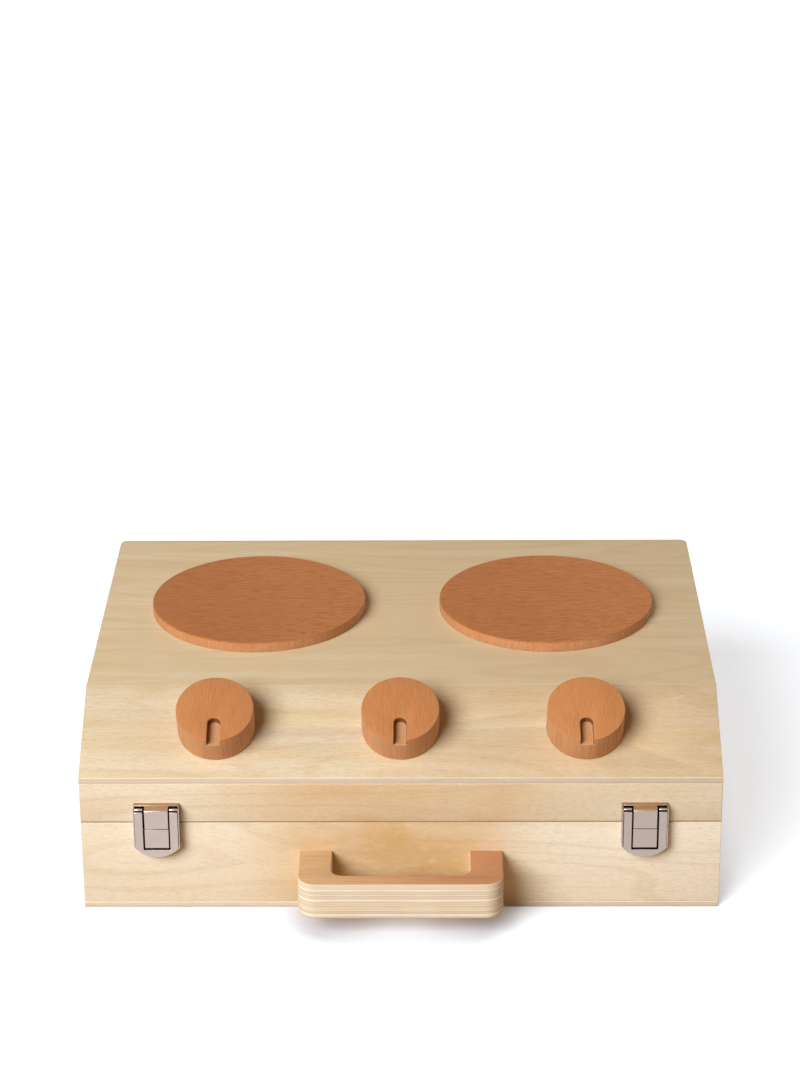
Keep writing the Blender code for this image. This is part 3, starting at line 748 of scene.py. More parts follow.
def board(node, shape, side, seed):
    """One plywood board in its node's place, veneered on its two faces, its plies showing at its edges."""
    thin = side in THIN_SIDES
    thick, plies = (SHEET, SHEET_PLY_SHARES) if thin else (WALL, WALL_PLY_SHARES)
    place = BOARD_PLACES[side]
    into = place.to_3x3().col[2]
    rounded(shape, bpy.context.scene.kitchen_sizes.board_round)
    shape.normal_update()
    finishes = [
        birch_veneer(f"birch_veneer_{node}", place, seed, **BOARD_LOOKS.get(node, {})),
        plywood_edge(f"birch_plywood_edge_{node}", place, thick, plies, seed),
    ]
    # A rounded edge is veneer as far as it leans less than about 45 degrees off the board's plane
    level = 0.7
    piece(
        f"board_{node}", [shape], finishes, "lid" if node.startswith("lid") else "case_base", [node],
        pick=lambda f: 0 if abs(f.normal.dot(into)) > level else 1,
    )


class KITCHEN_OT_base(bpy.types.Operator):
    """Build the base: a thin bottom under four walls"""

    bl_idname = "kitchen.base"
    bl_label = "Base"

    def execute(self, context):
        board("base_bottom_panel", prism(plan(FRONT, BACK), UNDER, SHEET), "bottom", 0.31)
        heights = (SHEET, BASE_RIM)
        front = block((LEFT, RIGHT), (FRONT, FRONT + WALL), heights)
        board("base_front_panel", front, "front", 2.6)
        board("base_back_panel", prism(plan(BACK - WALL, BACK), *heights), "back", 2.71)
        inner_y = (FRONT + WALL, BACK - WALL)
        board("base_left_panel", block((LEFT, LEFT + WALL), inner_y, heights), "left", 3.37)
        board("base_right_panel", block((RIGHT - WALL, RIGHT), inner_y, heights), "right", 4.19)
        return {"FINISHED"}


class KITCHEN_OT_lid(bpy.types.Operator):
    """Build the raised lid: a flat top and a sloped front over four walls"""

    bl_idname = "kitchen.lid"
    bl_label = "Lid"

    def execute(self, context):
        under = TOP - SHEET
        ridge = (INNER_RIDGE, under)
        lower = [(x, y, under) for x, y in plan(INNER_RIDGE, BACK)]
        upper = [(x, y, TOP) for x, y in plan(RIDGE, BACK)]
        board("lid_top_panel", solid([lower, upper]), "top", 5.83)

        front_top = (FRONT, slope_under(FRONT))
        slope = seen_aside([front_top, ridge, (RIDGE, TOP), (FRONT, FOOT)], LEFT, RIGHT)
        slope = cut(slope, [self.knob_bore(x) for x in KNOB_PLACES.values()])
        board("lid_slope_panel", slope, "slope", 6.47)

        near, far = FRONT + WALL, BACK - WALL
        near_top = (near, slope_under(near))
        rail = seen_aside([(FRONT, LID_RIM), (near, LID_RIM), near_top, front_top], LEFT, RIGHT)
        board("lid_front_rail", rail, "front", 7.21)
        board("lid_back_rail", prism(plan(far, BACK), LID_RIM, under), "back", 8.59)

        outline = [(near, LID_RIM), (far, LID_RIM), (far, under), ridge, near_top]
        board("lid_left_side", seen_aside(outline, LEFT, LEFT + WALL), "left", 9.07)
        board("lid_right_side", seen_aside(outline, RIGHT - WALL, RIGHT), "right", 10.43)
        return {"FINISHED"}

    def knob_bore(self, x):
        """The hole that a knob's screw comes up through."""
        radius, sides = 0.0023, 24
        round_hole = arc((0, 0), radius, 0, math.tau * (sides - 1) / sides, sides - 1)
        return moved(prism(round_hole, -2 * SHEET, SHEET), on_slope(x, KNOB_UP_SLOPE))


def cut(shape, cutters):
    """A closed shape less some others."""
    holder, *helpers = [linked("cut", mesh_of(each)) for each in (shape, *cutters)]
    for helper in helpers:
        boolean = holder.modifiers.new("Cut", "BOOLEAN")
        boolean.operation = "DIFFERENCE"
        boolean.solver = "EXACT"
        boolean.object = helper
    result = bmesh.new()
    result.from_mesh(plain_mesh(holder))
    for each in (holder, *helpers):
        bpy.data.objects.remove(each)
    bmesh.ops.dissolve_limit(
        result, angle_limit=math.radians(0.5), verts=result.verts, edges=result.edges, delimit=set()
    )
    return result


def plain_mesh(obj):
    """The mesh that an object's modifiers make."""
    seen = obj.evaluated_get(bpy.context.evaluated_depsgraph_get())
    return bpy.data.meshes.new_from_object(seen)


# Geometry Nodes


def new_tree(name, kinds):
    """A geometry tree with its named inputs, the node that gives them out, and their identifiers."""
    tree = bpy.data.node_groups.new(name, "GeometryNodeTree")
    tree.interface.new_socket("Geometry", in_out="OUTPUT", socket_type="NodeSocketGeometry")
    names = {}
    for label, kind in {"Geometry": "Geometry", **kinds}.items():
        socket = tree.interface.new_socket(label, in_out="INPUT", socket_type=f"NodeSocket{kind}")
        names[label] = socket.identifier
    return tree, names, add(tree, "NodeGroupInput").outputs


def grown(name, points, attributes, tree, names, values):
    """A plain mesh grown by a tree from points that carry vector attributes."""
    seeds = bpy.data.meshes.new(name)
    seeds.from_pydata(points, [], [])
    for label, vectors in attributes.items():
        made = seeds.attributes.new(label, "FLOAT_VECTOR", "POINT")
        made.data.foreach_set("vector", [c for v in vectors for c in v])
    holder = linked(name, seeds)
    modifier = holder.modifiers.new(name, "NODES")
    modifier.node_group = tree
    for label, value in values.items():
        modifier[names[label]] = value
    mesh = plain_mesh(holder)
    holder.modifiers.remove(modifier)
    bpy.data.objects.remove(holder)
    return mesh


def gathered(tree, parts):
    """Several geometries as one."""
    joined = add(tree, "GeometryNodeJoinGeometry")
    for part in parts:
        tree.links.new(part, joined.inputs[0])
    return joined.outputs[0]


def finish_tree(tree, geometry, material):
    """Realised, given its material and sent out."""
    real = output(tree, "GeometryNodeRealizeInstances", {"Geometry": geometry})
    painted = output(tree, "GeometryNodeSetMaterial", {"Geometry": real, "Material": material})
    add(tree, "NodeGroupOutput", {"Geometry": painted})


def disc_tree():
    """Turned discs on points: each a stack of rings, its rim rounded top and bottom."""
    kinds = {"Radius": "Float", "Thickness": "Float", "Rim": "Float", "Sides": "Int", "Material": "Material"}
    tree, names, given = new_tree("turned_discs", kinds)
    rim = given["Rim"]
    start = number(tree, "SUBTRACT", given["Radius"], rim)
    circle = {"Vertices": given["Sides"], "Radius": start}
    under = output(tree, "GeometryNodeMeshCircle", circle, fill_type="NGON")
    underside = output(tree, "GeometryNodeFlipFaces", {"Mesh": under})
    # Each ring's rise over the last one, and how far it stands out from the first, as shares of the rim
    steps = 4
    turns = [math.pi / 2 * i / steps for i in range(steps + 1)]
    rises = [math.cos(a) - math.cos(b) for a, b in zip(turns, turns[1:])]
    spreads = [math.sin(turn) for turn in turns[1:]]
    straight = number(tree, "SUBTRACT", given["Thickness"], times(tree, rim, 2.0))
    rings = [(times(tree, rim, rise), spread) for rise, spread in zip(rises, spreads)]
    rings.append((straight, 1.0))
    rings += [(times(tree, rim, rise), spread) for rise, spread in zip(rises[::-1], spreads[-2::-1] + [0.0])]
    shape, top, last = under, None, start
    for rise, spread in rings:
        offset = output(tree, "ShaderNodeCombineXYZ", {"Z": rise})
        inputs = {"Mesh": shape, "Offset": offset, "Offset Scale": 1.0, "Individual": False}
        if top:
            inputs["Selection"] = top
        step = add(tree, "GeometryNodeExtrudeMesh", inputs, mode="FACES")
        size = number(tree, "ADD", start, times(tree, rim, spread))
        factor = number(tree, "DIVIDE", size, last)
        top, last = step.outputs["Top"], size
        inputs = {"Geometry": step.outputs["Mesh"], "Selection": top, "Scale": factor}
        shape = output(tree, "GeometryNodeScaleElements", inputs)
    inputs = {"Geometry": gathered(tree, (underside, shape)), "Distance": 1e-6}
    inputs = {"Points": given["Geometry"], "Instance": output(tree, "GeometryNodeMergeByDistance", inputs)}
    finish_tree(tree, output(tree, "GeometryNodeInstanceOnPoints", inputs), given["Material"])
    return tree, names


def screw_tree():
    """Round-headed cross-slot screws on points, turned as each point says and by chance about their axis."""
    tree, names, given = new_tree("screws", {"Slot": "Float", "Seed": "Int", "Material": "Material"})
    bars = []
    for turn in (0.0, math.pi / 2):
        bar = output(tree, "GeometryNodeMeshCube", {"Size": (1.15, 1.0, 1.0)})
        size = output(tree, "ShaderNodeCombineXYZ", {"X": 1.0, "Y": given["Slot"], "Z": 1.0})
        inputs = {"Geometry": bar, "Translation": (0, 0, 1.05), "Rotation": (0, 0, turn), "Scale": size}
        bars.append(output(tree, "GeometryNodeTransform", inputs))
    dome = output(tree, "GeometryNodeMeshUVSphere", {"Segments": 24, "Rings": 12, "Radius": 1.0})
    inputs = {"Mesh 1": dome, "Mesh 2": gathered(tree, bars)}
    head = output(tree, "GeometryNodeMeshBoolean", inputs, operation="DIFFERENCE", solver="EXACT")
    rod = output(tree, "GeometryNodeMeshCylinder", {"Vertices": 16, "Radius": 1.0, "Depth": 1.0})
    shank = output(tree, "GeometryNodeTransform", {"Geometry": rod, "Translation": (0, 0, -0.5)})

    facing = output(tree, "FunctionNodeEulerToRotation", {"Euler": carried(tree, "turn")})
    limits = {"Min": (0, 0, 0), "Max": (0, 0, math.pi), "Seed": given["Seed"]}
    chance = output(tree, "FunctionNodeRandomValue", limits, data_type="FLOAT_VECTOR")
    chance = output(tree, "FunctionNodeEulerToRotation", {"Euler": chance})
    inputs = {"Rotation": facing, "Rotate By": chance}
    turned = output(tree, "FunctionNodeRotateRotation", inputs, rotation_space="LOCAL")
    both = []
    for shape, label in ((head, "head"), (shank, "shank")):
        inputs = {
            "Points": given["Geometry"],
            "Instance": shape,
            "Rotation": turned,
            "Scale": carried(tree, label),
        }
        both.append(output(tree, "GeometryNodeInstanceOnPoints", inputs))
    finish_tree(tree, gathered(tree, both), given["Material"])
    return tree, names


def carried(tree, label):
    """The vector that each point carries under that name."""
    return output(tree, "GeometryNodeInputNamedAttribute", {"Name": label}, data_type="FLOAT_VECTOR")


class KITCHEN_OT_burners(bpy.types.Operator):
    """Build the two burner discs, glued to the flat top"""

    bl_idname = "kitchen.burners"
    bl_label = "Burner discs"

    def execute(self, context):
        scene = context.scene
        middle = (DISC_LOW + DISC_HIGH) / 2
        thick = DISC_HIGH.z - TOP
        place = axes((0, 0, TOP), (1, 0, 0), (0, 1, 0), (0, 0, 1))
        look = {"fleck_long": 9, "fleck_strong": 1.0, "pitch": -2 * middle.x}
        values = {
            "Radius": DISC_RADIUS,
            "Thickness": thick,
            "Rim": scene.kitchen_sizes.disc_round,
            "Sides": 160,
            "Material": beech("beech_discs", place, 0.23, scene.kitchen_colours.disc, thick, **look),
        }
        points = [(middle.x * side, middle.y, TOP) for side in (1, -1)]
        mesh = grown("burner_discs", points, {}, *disc_tree(), values)
        for face in mesh.polygons:
            face.use_smooth = len(face.vertices) <= 4
        as_piece("burner_discs", mesh, "lid", ["burner_left", "burner_right"])
        return {"FINISHED"}


class KITCHEN_OT_knobs(bpy.types.Operator):
    """Build the three knobs with their pointer grooves"""

    bl_idname = "kitchen.knobs"
    bl_label = "Knobs"

    def execute(self, context):
        tone = context.scene.kitchen_colours.beech
        look = {"fleck_long": 9, "fleck_strong": 0.35, "shaded_groove": True}
        for (side, x), seed in zip(KNOB_PLACES.items(), (1.7, 2.7, 3.7)):
            where = on_slope(x, KNOB_UP_SLOPE)
            along = where @ Matrix.Rotation(math.pi / 2, 4, "Z")
            wood = beech(f"beech_knob_{side}", along, seed, tone, KNOB_HEIGHT, **look)
            shape = moved(self.knob(context.scene.kitchen_sizes.knob_round), where)
            name, body = f"turning_knob_{side}", f"{side}_knob"
            piece(name, [shape], [wood], body, [f"knob_{side}"], flat_above=60)
        return {"FINISHED"}

    def knob(self, rim):
        """A turned cylinder, its groove cut with a round-nosed end and open at the rim."""
        half = GROOVE_WIDTH / 2
        sides = 96
        around = arc((0, 0), KNOB_RADIUS, 0, math.tau * (sides - 1) / sides, sides - 1)
        outline = [
            (-half, -KNOB_RADIUS - half),
            (half, -KNOB_RADIUS - half),
            *arc((0, -GROOVE_START - half), half, 0, math.pi, 16),
        ]
        groove = prism(outline, KNOB_HEIGHT - GROOVE_DEPTH, KNOB_HEIGHT + half)
        return rounded(cut(prism(around, GAP, KNOB_HEIGHT), [groove]), rim, 3)


class KITCHEN_OT_handle(bpy.types.Operator):
    """Build the carry handle, a U of thick plywood"""

    bl_idname = "kitchen.handle"
    bl_label = "Carry handle"

    def execute(self, context):
        shape = prism(self.outline(), HANDLE_LOW.z, HANDLE_HIGH.z)
        rounded(shape, context.scene.kitchen_sizes.handle_round, 3, only=self.free)
        place = axes((0, 0, HANDLE_HIGH.z), (1, 0, 0), (0, 1, 0), (0, 0, -1))
        face = handle_veneer("hardwood_veneer_handle", place, 0.4)
        edge = handle_edge("birch_plywood_edge_handle", place, HANDLE_HIGH.z - HANDLE_LOW.z)
        piece(
            "handle_grip", [shape], [face, edge], "case_base", ["carry_handle"],
            pick=lambda f: 0 if abs(f.normal.z) > 0.8 else 1, flat_above=40,
        )
        return {"FINISHED"}

    def free(self, edge):
        """Whether an edge isn't one of the upright ones on the base's front, where the handle is glued."""
        first, last = (corner.co for corner in edge.verts)
        return max(first.y, last.y) < FRONT - GAP or abs(first.z - last.z) < GAP

    def outline(self):
        """The U seen from above."""
        half = HANDLE_HIGH.x
        inner = half - HANDLE_ARM
        far = HANDLE_LOW.y
        window = far + HANDLE_GRIP
        outer_turn = half - HANDLE_OUTER_RADIUS
        inner_turn = inner - HANDLE_INNER_RADIUS
        wide, tight = HANDLE_OUTER_RADIUS, HANDLE_INNER_RADIUS
        return [
            (-half, FRONT),
            *arc((-outer_turn, far + wide), wide, math.pi, 1.5 * math.pi, 14),
            *arc((outer_turn, far + wide), wide, 1.5 * math.pi, math.tau, 14),
            (half, FRONT),
            (inner, FRONT),
            *arc((inner_turn, window + tight), tight, 0.0, -math.pi / 2, 14),
            *arc((-inner_turn, window + tight), tight, -math.pi / 2, -math.pi, 14),
            (-inner, FRONT),
        ]


def bent(path, thick):
    """The outline of a sheet of one thickness whose outer side follows the path, in order."""
    inner = []
    for i, point in enumerate(path):
        before = Vector(path[max(i - 1, 0)])
        after = Vector(path[min(i + 1, len(path) - 1)])
        run = (after - before).normalized()
        inner.append((point[0] - run.y * thick, point[1] + run.x * thick))
    return list(path) + inner[::-1]


def strip(path, half):
    """A bent strip of the latches' sheet, its path given as heights and distances out."""
    return seen_aside(bent(path, LATCH_SHEET), -half, half)


def softened(shape, share=1.0, segments=2):
    """A metal shape, its edges rounded by a share of the usual."""
    return rounded(shape, bpy.context.scene.kitchen_sizes.metal_round * share, segments)


def pair(near, far):
    """The spans from near to far on the left and on the right of the middle."""
    return ((-far, -near), (near, far))


class KITCHEN_OT_latches(bpy.types.Operator):
    """Build the two draw latches across the seam"""

    bl_idname = "kitchen.latches"
    bl_label = "Latches"

    def execute(self, context):
        # Finish 1 is painted shade for the latches' insides and narrow gaps; finish 2 is a painted
        # reflection of the wood on the keepers' roofs
        finishes = [
            found("nickel_plating", nickel),
            found("dull_steel", shaded_latch_inside),
            nickel("worn_nickel_plating", worn=0.65),
        ]
        zinc_plating = [found("zinc_plating", zinc)]
        for side, x in (("left", -LATCH_X), ("right", LATCH_X)):
            where = on_front(x, SEAM)
            parts = (
                ("latch_frame", self.frame(), f"latch_{side}", None),
                ("latch_keeper", self.keeper(), "lid", self.finish),
                ("latch_catch", self.catch(), "case_base", None),
            )
            for name, shapes, body, pick in parts:
                shapes = [moved(shape, where) for shape in shapes]
                name, node = f"{name}_metal_{side}", f"{name}_{side}"
                piece(name, shapes, finishes, body, [node], pick, flat_above=1.5)
            stubs = [moved(shape, where) for shape in self.pins()]
            name, node = f"latch_pin_stubs_{side}", f"latch_pin_{side}"
            piece(name, stubs, zinc_plating, "lid", [node])
        return {"FINISHED"}

    def finish(self, face):
        """The keeper's finish: a painted reflection of the wood on the roof's upward faces."""
        high = face.calc_center_median().z > SEAM + KEEPER_HEIGHT - 2 * ROOF_FALL
        worn = high and face.normal.z > 0.45 and face.material_index == 0
        return 2 if worn else face.material_index

    def frame(self):
        """The swinging D, its arms folded back and rolled round the pin."""
        inner = FRAME_HALF - FRAME_ARM
        turn, turn_y = inner - WINDOW_RADIUS, FRAME_BAR - FRAME_DROP + WINDOW_RADIUS
        outline = [
            *self.shell(FRAME_TOP, 0.0)[::-1],
            (inner, FRAME_TOP),
            *arc((turn, turn_y), WINDOW_RADIUS, 0, -math.pi / 2, 6),
            *arc((-turn, turn_y), WINDOW_RADIUS, -math.pi / 2, -math.pi, 6),
            (-inner, FRAME_TOP),
        ]
        shapes = [softened(prism(outline, LATCH_OUT - LATCH_SHEET, LATCH_OUT), 1.3, 3)]
        ledge = PIN_HEIGHT - KNUCKLE_RADIUS
        for span in pair(inner, FRAME_HALF):
            # The fold under each knuckle takes the painted shade finish
            fold = block(span, (ledge, ledge + LATCH_SHEET), (PIN_OUT, LATCH_OUT - LATCH_SHEET / 2))
            shapes.append(finished(fold, 1))
            shapes.append(softened(tube(KNUCKLE_RADIUS, *span, PIN_HEIGHT, PIN_OUT)))
        return shapes

    def pins(self):
        """Two short pins, each through an ear and an arm's knuckle."""
        spans = pair(FRAME_HALF - FRAME_ARM, FRAME_HALF + SHELL_MARGIN)
        bars = [tube(LATCH_PIN_RADIUS, *span, PIN_HEIGHT, PIN_OUT, 16) for span in spans]
        return [softened(bar, segments=1) for bar in bars]

    def tongue(self, low, high, front, roofed):
        """The raised middle of a latch half: a bent front plate on two cheeks."""
        bend_radius = bpy.context.scene.kitchen_sizes.bend_radius
        if roofed:
            radius = LATCH_SHEET + bend_radius
            pitch = math.atan2(ROOF_FALL, front)
            bend = arc((high - ROOF_FALL - radius, front - radius), radius, pitch, math.pi / 2, 6)
            path = [(high, 0), *bend, (low, front)]
        else:
            radius = LATCH_SHEET + bend_radius * 0.4
            bend = arc((low + radius, front - radius), radius, math.pi / 2, math.pi, 6)
            path = [(high, front), *bend, (low, LATCH_SHEET)]
        inset = LATCH_SHEET / 2
        heights = (low + inset, high - inset - (ROOF_FALL if roofed else 0))
        cheeks = pair(TONGUE_HALF - LATCH_SHEET, TONGUE_HALF - inset)
        plate = softened(strip(path, TONGUE_HALF), 1.3, 3)
        # The cheeks take the painted shade finish
        return [plate] + [finished(block(span, heights, (LATCH_SHEET, front - inset)), 1) for span in cheeks]

    def keeper(self):
        """The half on the lid: a backing plate, two ears, a roof that falls to the front, and the tongue."""
        half = FRAME_HALF + SHELL_MARGIN
        low, high = GAP / 2, KEEPER_HEIGHT
        front = LATCH_OUT - LATCH_SHEET - GAP
        fall = ROOF_FALL / front
        # The backing plate takes the painted shade finish
        shapes = [finished(block((-half, half), (low, high - LATCH_SHEET), (0, LATCH_SHEET + GAP)), 1)]
        edge = [(low, 0), (low, front), (high - fall * front, front), (high, 0)]
        shapes += [softened(seen_aside(edge, *span)) for span in pair(half - LATCH_SHEET, half)]
        lip = strip([(high, 0), (high - fall * KEEPER_LIP, KEEPER_LIP)], half - GAP / 4)
        return shapes + [softened(lip)] + self.tongue(-TONGUE_SPLIT, high, front, True)

    def catch(self):
        """The half on the base: a shallow D-shaped tray and the block that the frame closes round."""
        front = LATCH_OUT - LATCH_SHEET - GAP
        top = -GAP / 2
        outer = self.shell(top, SHELL_MARGIN)
        inner = self.shell(top, SHELL_MARGIN - LATCH_SHEET)
        wall = softened(prism(outer + inner[::-1], LATCH_SHEET / 2, front))
        # The tray's floor takes the painted shade finish
        floor = finished(prism(self.shell(top, SHELL_MARGIN - GAP / 4), 0, LATCH_SHEET + GAP), 1)
        low = FRAME_BAR - FRAME_DROP + TONGUE_GAP
        return [wall, floor] + self.tongue(low, -TONGUE_SPLIT - GAP, front, False)

    def shell(self, top, grow):
        """A D below the height top, from right to left, larger than the frame's by grow."""
        half, radius = FRAME_HALF + grow, FRAME_BOTTOM_RADIUS + grow
        spread = math.asin(half / radius)
        centre_y = FRAME_BOTTOM_RADIUS - FRAME_DROP
        bottom = arc((0, centre_y), radius, 1.5 * math.pi + spread, 1.5 * math.pi - spread, 24)
        return [(half, top), *bottom, (-half, top)]


class KITCHEN_OT_hinges(bpy.types.Operator):
    """Build the two butt hinges on the back"""

    bl_idname = "kitchen.hinges"
    bl_label = "Hinges"

    def execute(self, context):
        metal = found("nickel_plating", nickel)
        for side, x in (("left", -HINGE_X), ("right", HINGE_X)):
            where = on_back(x, SEAM)
            for leaf, rise, first, body in (("base", -1, 0, "case_base"), ("lid", 1, 1, "lid")):
                shapes = [moved(shape, where) for shape in self.leaf(rise, first)]
                name, node = f"hinge_{leaf}_metal_{side}", f"hinge_{leaf}_leaf_{side}"
                piece(name, shapes, [metal], body, [node], flat_above=10)
        return {"FINISHED"}

    def leaf(self, rise, first):
        """A plate with rounded corners and every second knuckle of the barrel."""
        corner = 0.002
        thick = GAP + HINGE_SHEET
        near, far = rise * (BARREL_RADIUS + GAP), rise * HINGE_LEAF
        right = arc((HINGE_HALF - corner, far - rise * corner), corner, 0, rise * math.pi / 2, 6)
        left = [(-x, y) for x, y in right[::-1]]
        outline = [(-HINGE_HALF, near), (HINGE_HALF, near), *right, *left]
        shapes = [softened(prism(outline, 0, thick))]
        pitch = (2 * HINGE_HALF + GAP) / KNUCKLES
        for i in range(first, KNUCKLES, 2):
            span = (-HINGE_HALF + i * pitch, -HINGE_HALF + (i + 1) * pitch - GAP)
            shapes.append(block(span, sorted((0, near + rise * corner / 2)), (0, thick - GAP / 3)))
            shapes.append(softened(tube(BARREL_RADIUS, *span, 0, GAP + BARREL_RADIUS)))
        return shapes


class KITCHEN_OT_fixings(bpy.types.Operator):
    """Build the screws and give the pins and washers their finish"""

    bl_idname = "kitchen.fixings"
    bl_label = "Screws, pins and washers"

    def execute(self, context):
        plating = found("zinc_plating", zinc)
        tree = screw_tree()
        groups = {}
        for node, obj in frame["nodes"].items():
            if "screw" in node:
                groups.setdefault(obj["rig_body"], []).append(node)
            elif "hinge_pin" in node or "washer" in node:
                obj.data.materials.clear()
                obj.data.materials.append(plating)
        for body, nodes in groups.items():
            points, turns, heads, shanks = zip(*(self.measured(node) for node in nodes))
            attributes = {"turn": turns, "head": heads, "shank": shanks}
            values = {"Slot": 0.26, "Seed": 7, "Material": plating}
            mesh = grown(f"screws_{body}", points, attributes, *tree, values)
            as_piece(f"screws_{body}", mesh, body, nodes)
        return {"FINISHED"}

    def measured(self, node):
        """A packed screw's seat, turn, and head and shank sizes, from its kind and its corners."""
        # The head's radius and height, and the shank's radius and length
        kinds = {
            "latch": (0.0022, 0.0011, 0.0010, 0.0083),
            "hinge": (0.0022, 0.0009, 0.0010, 0.0085),
            "handle": (0.0042, 0.0022, 0.0019, 0.0315),
            "knob": (0.0040, 0.0024, 0.0020, 0.0179),
        }
        head_radius, head_height, radius, reach = kinds[node.split("_")[0]]
        low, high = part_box(node)
        middle = (low + high) / 2
        if node.startswith("latch"):
            out = Vector((0, -1, 0))
            crown = Vector((middle.x, low.y, middle.z))
        elif node.startswith("knob"):
            out = on_slope(0, 0).to_3x3() @ Vector((0, 0, -1))
            x = KNOB_PLACES[node.split("_")[1]]
            washer = 0.001
            crown = on_slope(x, KNOB_UP_SLOPE) @ Vector((0, 0, -SHEET - washer - 2 * GAP - head_height))
        else:
            out = Vector((0, 1, 0))
            crown = Vector((middle.x, high.y, middle.z))
        seat = crown - out * head_height
        turn = out.to_track_quat("Z", "Y").to_euler()
        return seat, turn, (head_radius, head_radius, head_height), (radius, radius, reach)


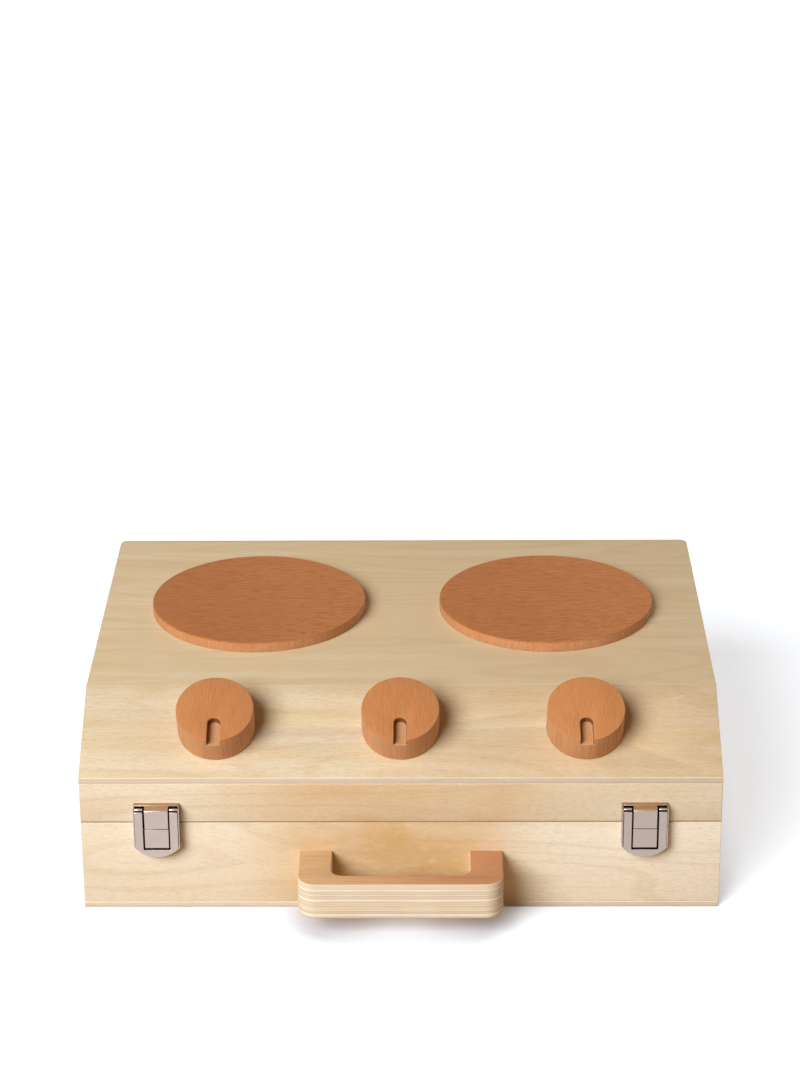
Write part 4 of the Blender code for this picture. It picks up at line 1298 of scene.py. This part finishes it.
class KITCHEN_OT_stage(bpy.types.Operator):
    """Set the floor, the light and the camera"""

    bl_idname = "kitchen.stage"
    bl_label = "Stage"

    def execute(self, context):
        scene = context.scene
        scene.view_settings.view_transform = "Standard"
        self.floor()
        self.world(scene)
        self.lamps()
        self.camera(scene)
        return {"FINISHED"}

    def floor(self):
        """A seamless floor that a camera sees white where it is lit, and grey in the object's shadow."""
        sheet = bmesh.new()
        reach = 8.0
        sheet.faces.new([sheet.verts.new((x, y, 0)) for x, y in rectangle(-reach, reach, -reach, reach)])
        mesh = mesh_of(sheet, "floor")
        made, tree = new_material("matt_white_vinyl")
        seen = self.seen(tree)
        # A camera sees grey vinyl with a glow that brings it to white. The glow dims next to the object,
        # most in
        # front of the handle: painted shade on the floor
        clear = add(tree, "ShaderNodeAmbientOcclusion", {"Distance": 0.04}, samples=12).outputs["AO"]
        x = axis(tree, add(tree, "ShaderNodeTexCoord").outputs["Object"], 0)
        aside = number(tree, "ABSOLUTE", x)
        beside = between(tree, aside, HANDLE_HIGH.x - 0.015, HANDLE_HIGH.x + 0.02)
        shade = number(tree, "MAXIMUM", beside, between(tree, clear, 0.42, 0.88, 0.2, 1.0))
        strength = times(tree, seen, between(tree, clear, 0.05, 0.9, 0.12, 0.69))
        inputs = {"Color": linear("F2F8FD"), "Strength": times(tree, strength, shade)}
        glow = output(tree, "ShaderNodeEmission", inputs)
        tone = mixed(tree, seen, linear("BCA180"), linear("DADDE4"))
        matt = output(tree, "ShaderNodeBsdfDiffuse", {"Color": tone})
        both = output(tree, "ShaderNodeAddShader", {0: matt, 1: glow})
        add(tree, "ShaderNodeOutputMaterial", {"Surface": both})
        mesh.materials.append(made)
        linked("floor", mesh)

    def seen(self, tree):
        """1 for what a camera sees straight, in a mirror or through glass."""
        path = add(tree, "ShaderNodeLightPath").outputs
        mirrored = number(tree, "MAXIMUM", path["Is Camera Ray"], path["Is Glossy Ray"])
        return number(tree, "MAXIMUM", mirrored, path["Is Transmission Ray"])

    def world(self, scene):
        """A white room as a camera sees it, whose light on the object is faint and warm."""
        world = bpy.data.worlds.new("white_room")
        world.use_nodes = True
        tree = world.node_tree
        tree.nodes.clear()
        seen = self.seen(tree)
        tone = mixed(tree, seen, linear("FFC890"), linear("FFFFFF"))
        strength = between(tree, seen, 0.0, 1.0, 0.16, 1.0)
        back = output(tree, "ShaderNodeBackground", {"Color": tone, "Strength": strength})
        add(tree, "ShaderNodeOutputWorld", {"Surface": back})
        scene.world = world

    def lamps(self):
        """A broad lamp in front, to the left and above, and a weak low one behind, to the right.

        The front lamp is cool enough that its light and the warm fill add up to white.
        """
        # Name, watts per square metre, tone, angular size, and degrees to the left of the front and up
        lamps = (
            ("key", 3.9, (0.872, 0.93, 0.97), 36, 35, 32.5),
            ("behind", 1.15, (0.93, 0.97, 1.0), 30, -142, 6),
        )
        for name, energy, tone, size, aside, up in lamps:
            lamp = bpy.data.lights.new(name, "SUN")
            lamp.energy = energy
            lamp.color = tone
            lamp.angle = math.radians(size)
            aside, up = math.radians(aside), math.radians(up)
            level = math.cos(up)
            toward = Vector((-math.sin(aside) * level, -math.cos(aside) * level, math.sin(up)))
            obj = linked(name, lamp)
            obj.rotation_euler = toward.to_track_quat("Z", "Y").to_euler()
            obj.location = toward * 2

    def camera(self, scene):
        """The photograph's view: a long lens from in front and above."""
        lens = bpy.data.cameras.new("camera")
        lens.sensor_width = 36.0
        lens.lens = 98.35
        yaw, pitch, roll = math.radians(-0.626), math.radians(23.046), math.radians(-0.382)
        flat = math.cos(pitch)
        ahead = Vector((math.sin(yaw) * flat, math.cos(yaw) * flat, -math.sin(pitch)))
        level = Vector((math.cos(yaw), -math.sin(yaw), 0))
        upward = level.cross(ahead)
        right = level * math.cos(roll) + upward * math.sin(roll)
        above = upward * math.cos(roll) - level * math.sin(roll)
        spot = (0.0183, -1.7504, 0.9381)
        camera = linked("camera", lens)
        camera.matrix_world = axes(spot, right, above, -ahead)
        scene.camera = camera


OPERATORS = (
    KITCHEN_OT_base,
    KITCHEN_OT_lid,
    KITCHEN_OT_burners,
    KITCHEN_OT_knobs,
    KITCHEN_OT_handle,
    KITCHEN_OT_latches,
    KITCHEN_OT_hinges,
    KITCHEN_OT_fixings,
    KITCHEN_OT_stage,
)


class KITCHEN_PT_panel(bpy.types.Panel):
    """The kitchen's sizes, colours and pieces"""

    bl_idname = "KITCHEN_PT_panel"
    bl_label = "Play kitchen"
    bl_space_type = "VIEW_3D"
    bl_region_type = "UI"
    bl_category = "Kitchen"

    def draw(self, context):
        layout = self.layout
        for group in (context.scene.kitchen_sizes, context.scene.kitchen_colours):
            box = layout.box()
            for name in group.__annotations__:
                box.prop(group, name)
        for operator in OPERATORS:
            layout.operator(operator.bl_idname)


CLASSES = (KitchenSizes, KitchenColours, *OPERATORS, KITCHEN_PT_panel)


def register():
    for made in CLASSES:
        bpy.utils.register_class(made)
    bpy.types.Scene.kitchen_sizes = bpy.props.PointerProperty(type=KitchenSizes)
    bpy.types.Scene.kitchen_colours = bpy.props.PointerProperty(type=KitchenColours)


def unregister():
    del bpy.types.Scene.kitchen_colours
    del bpy.types.Scene.kitchen_sizes
    for made in reversed(CLASSES):
        bpy.utils.unregister_class(made)


def main():
    register()
    bpy.ops.kitchen.base()
    bpy.ops.kitchen.lid()
    bpy.ops.kitchen.burners()
    bpy.ops.kitchen.knobs()
    bpy.ops.kitchen.handle()
    bpy.ops.kitchen.latches()
    bpy.ops.kitchen.hinges()
    bpy.ops.kitchen.fixings()
    bpy.ops.kitchen.stage()


if __name__ == "__main__":
    main()
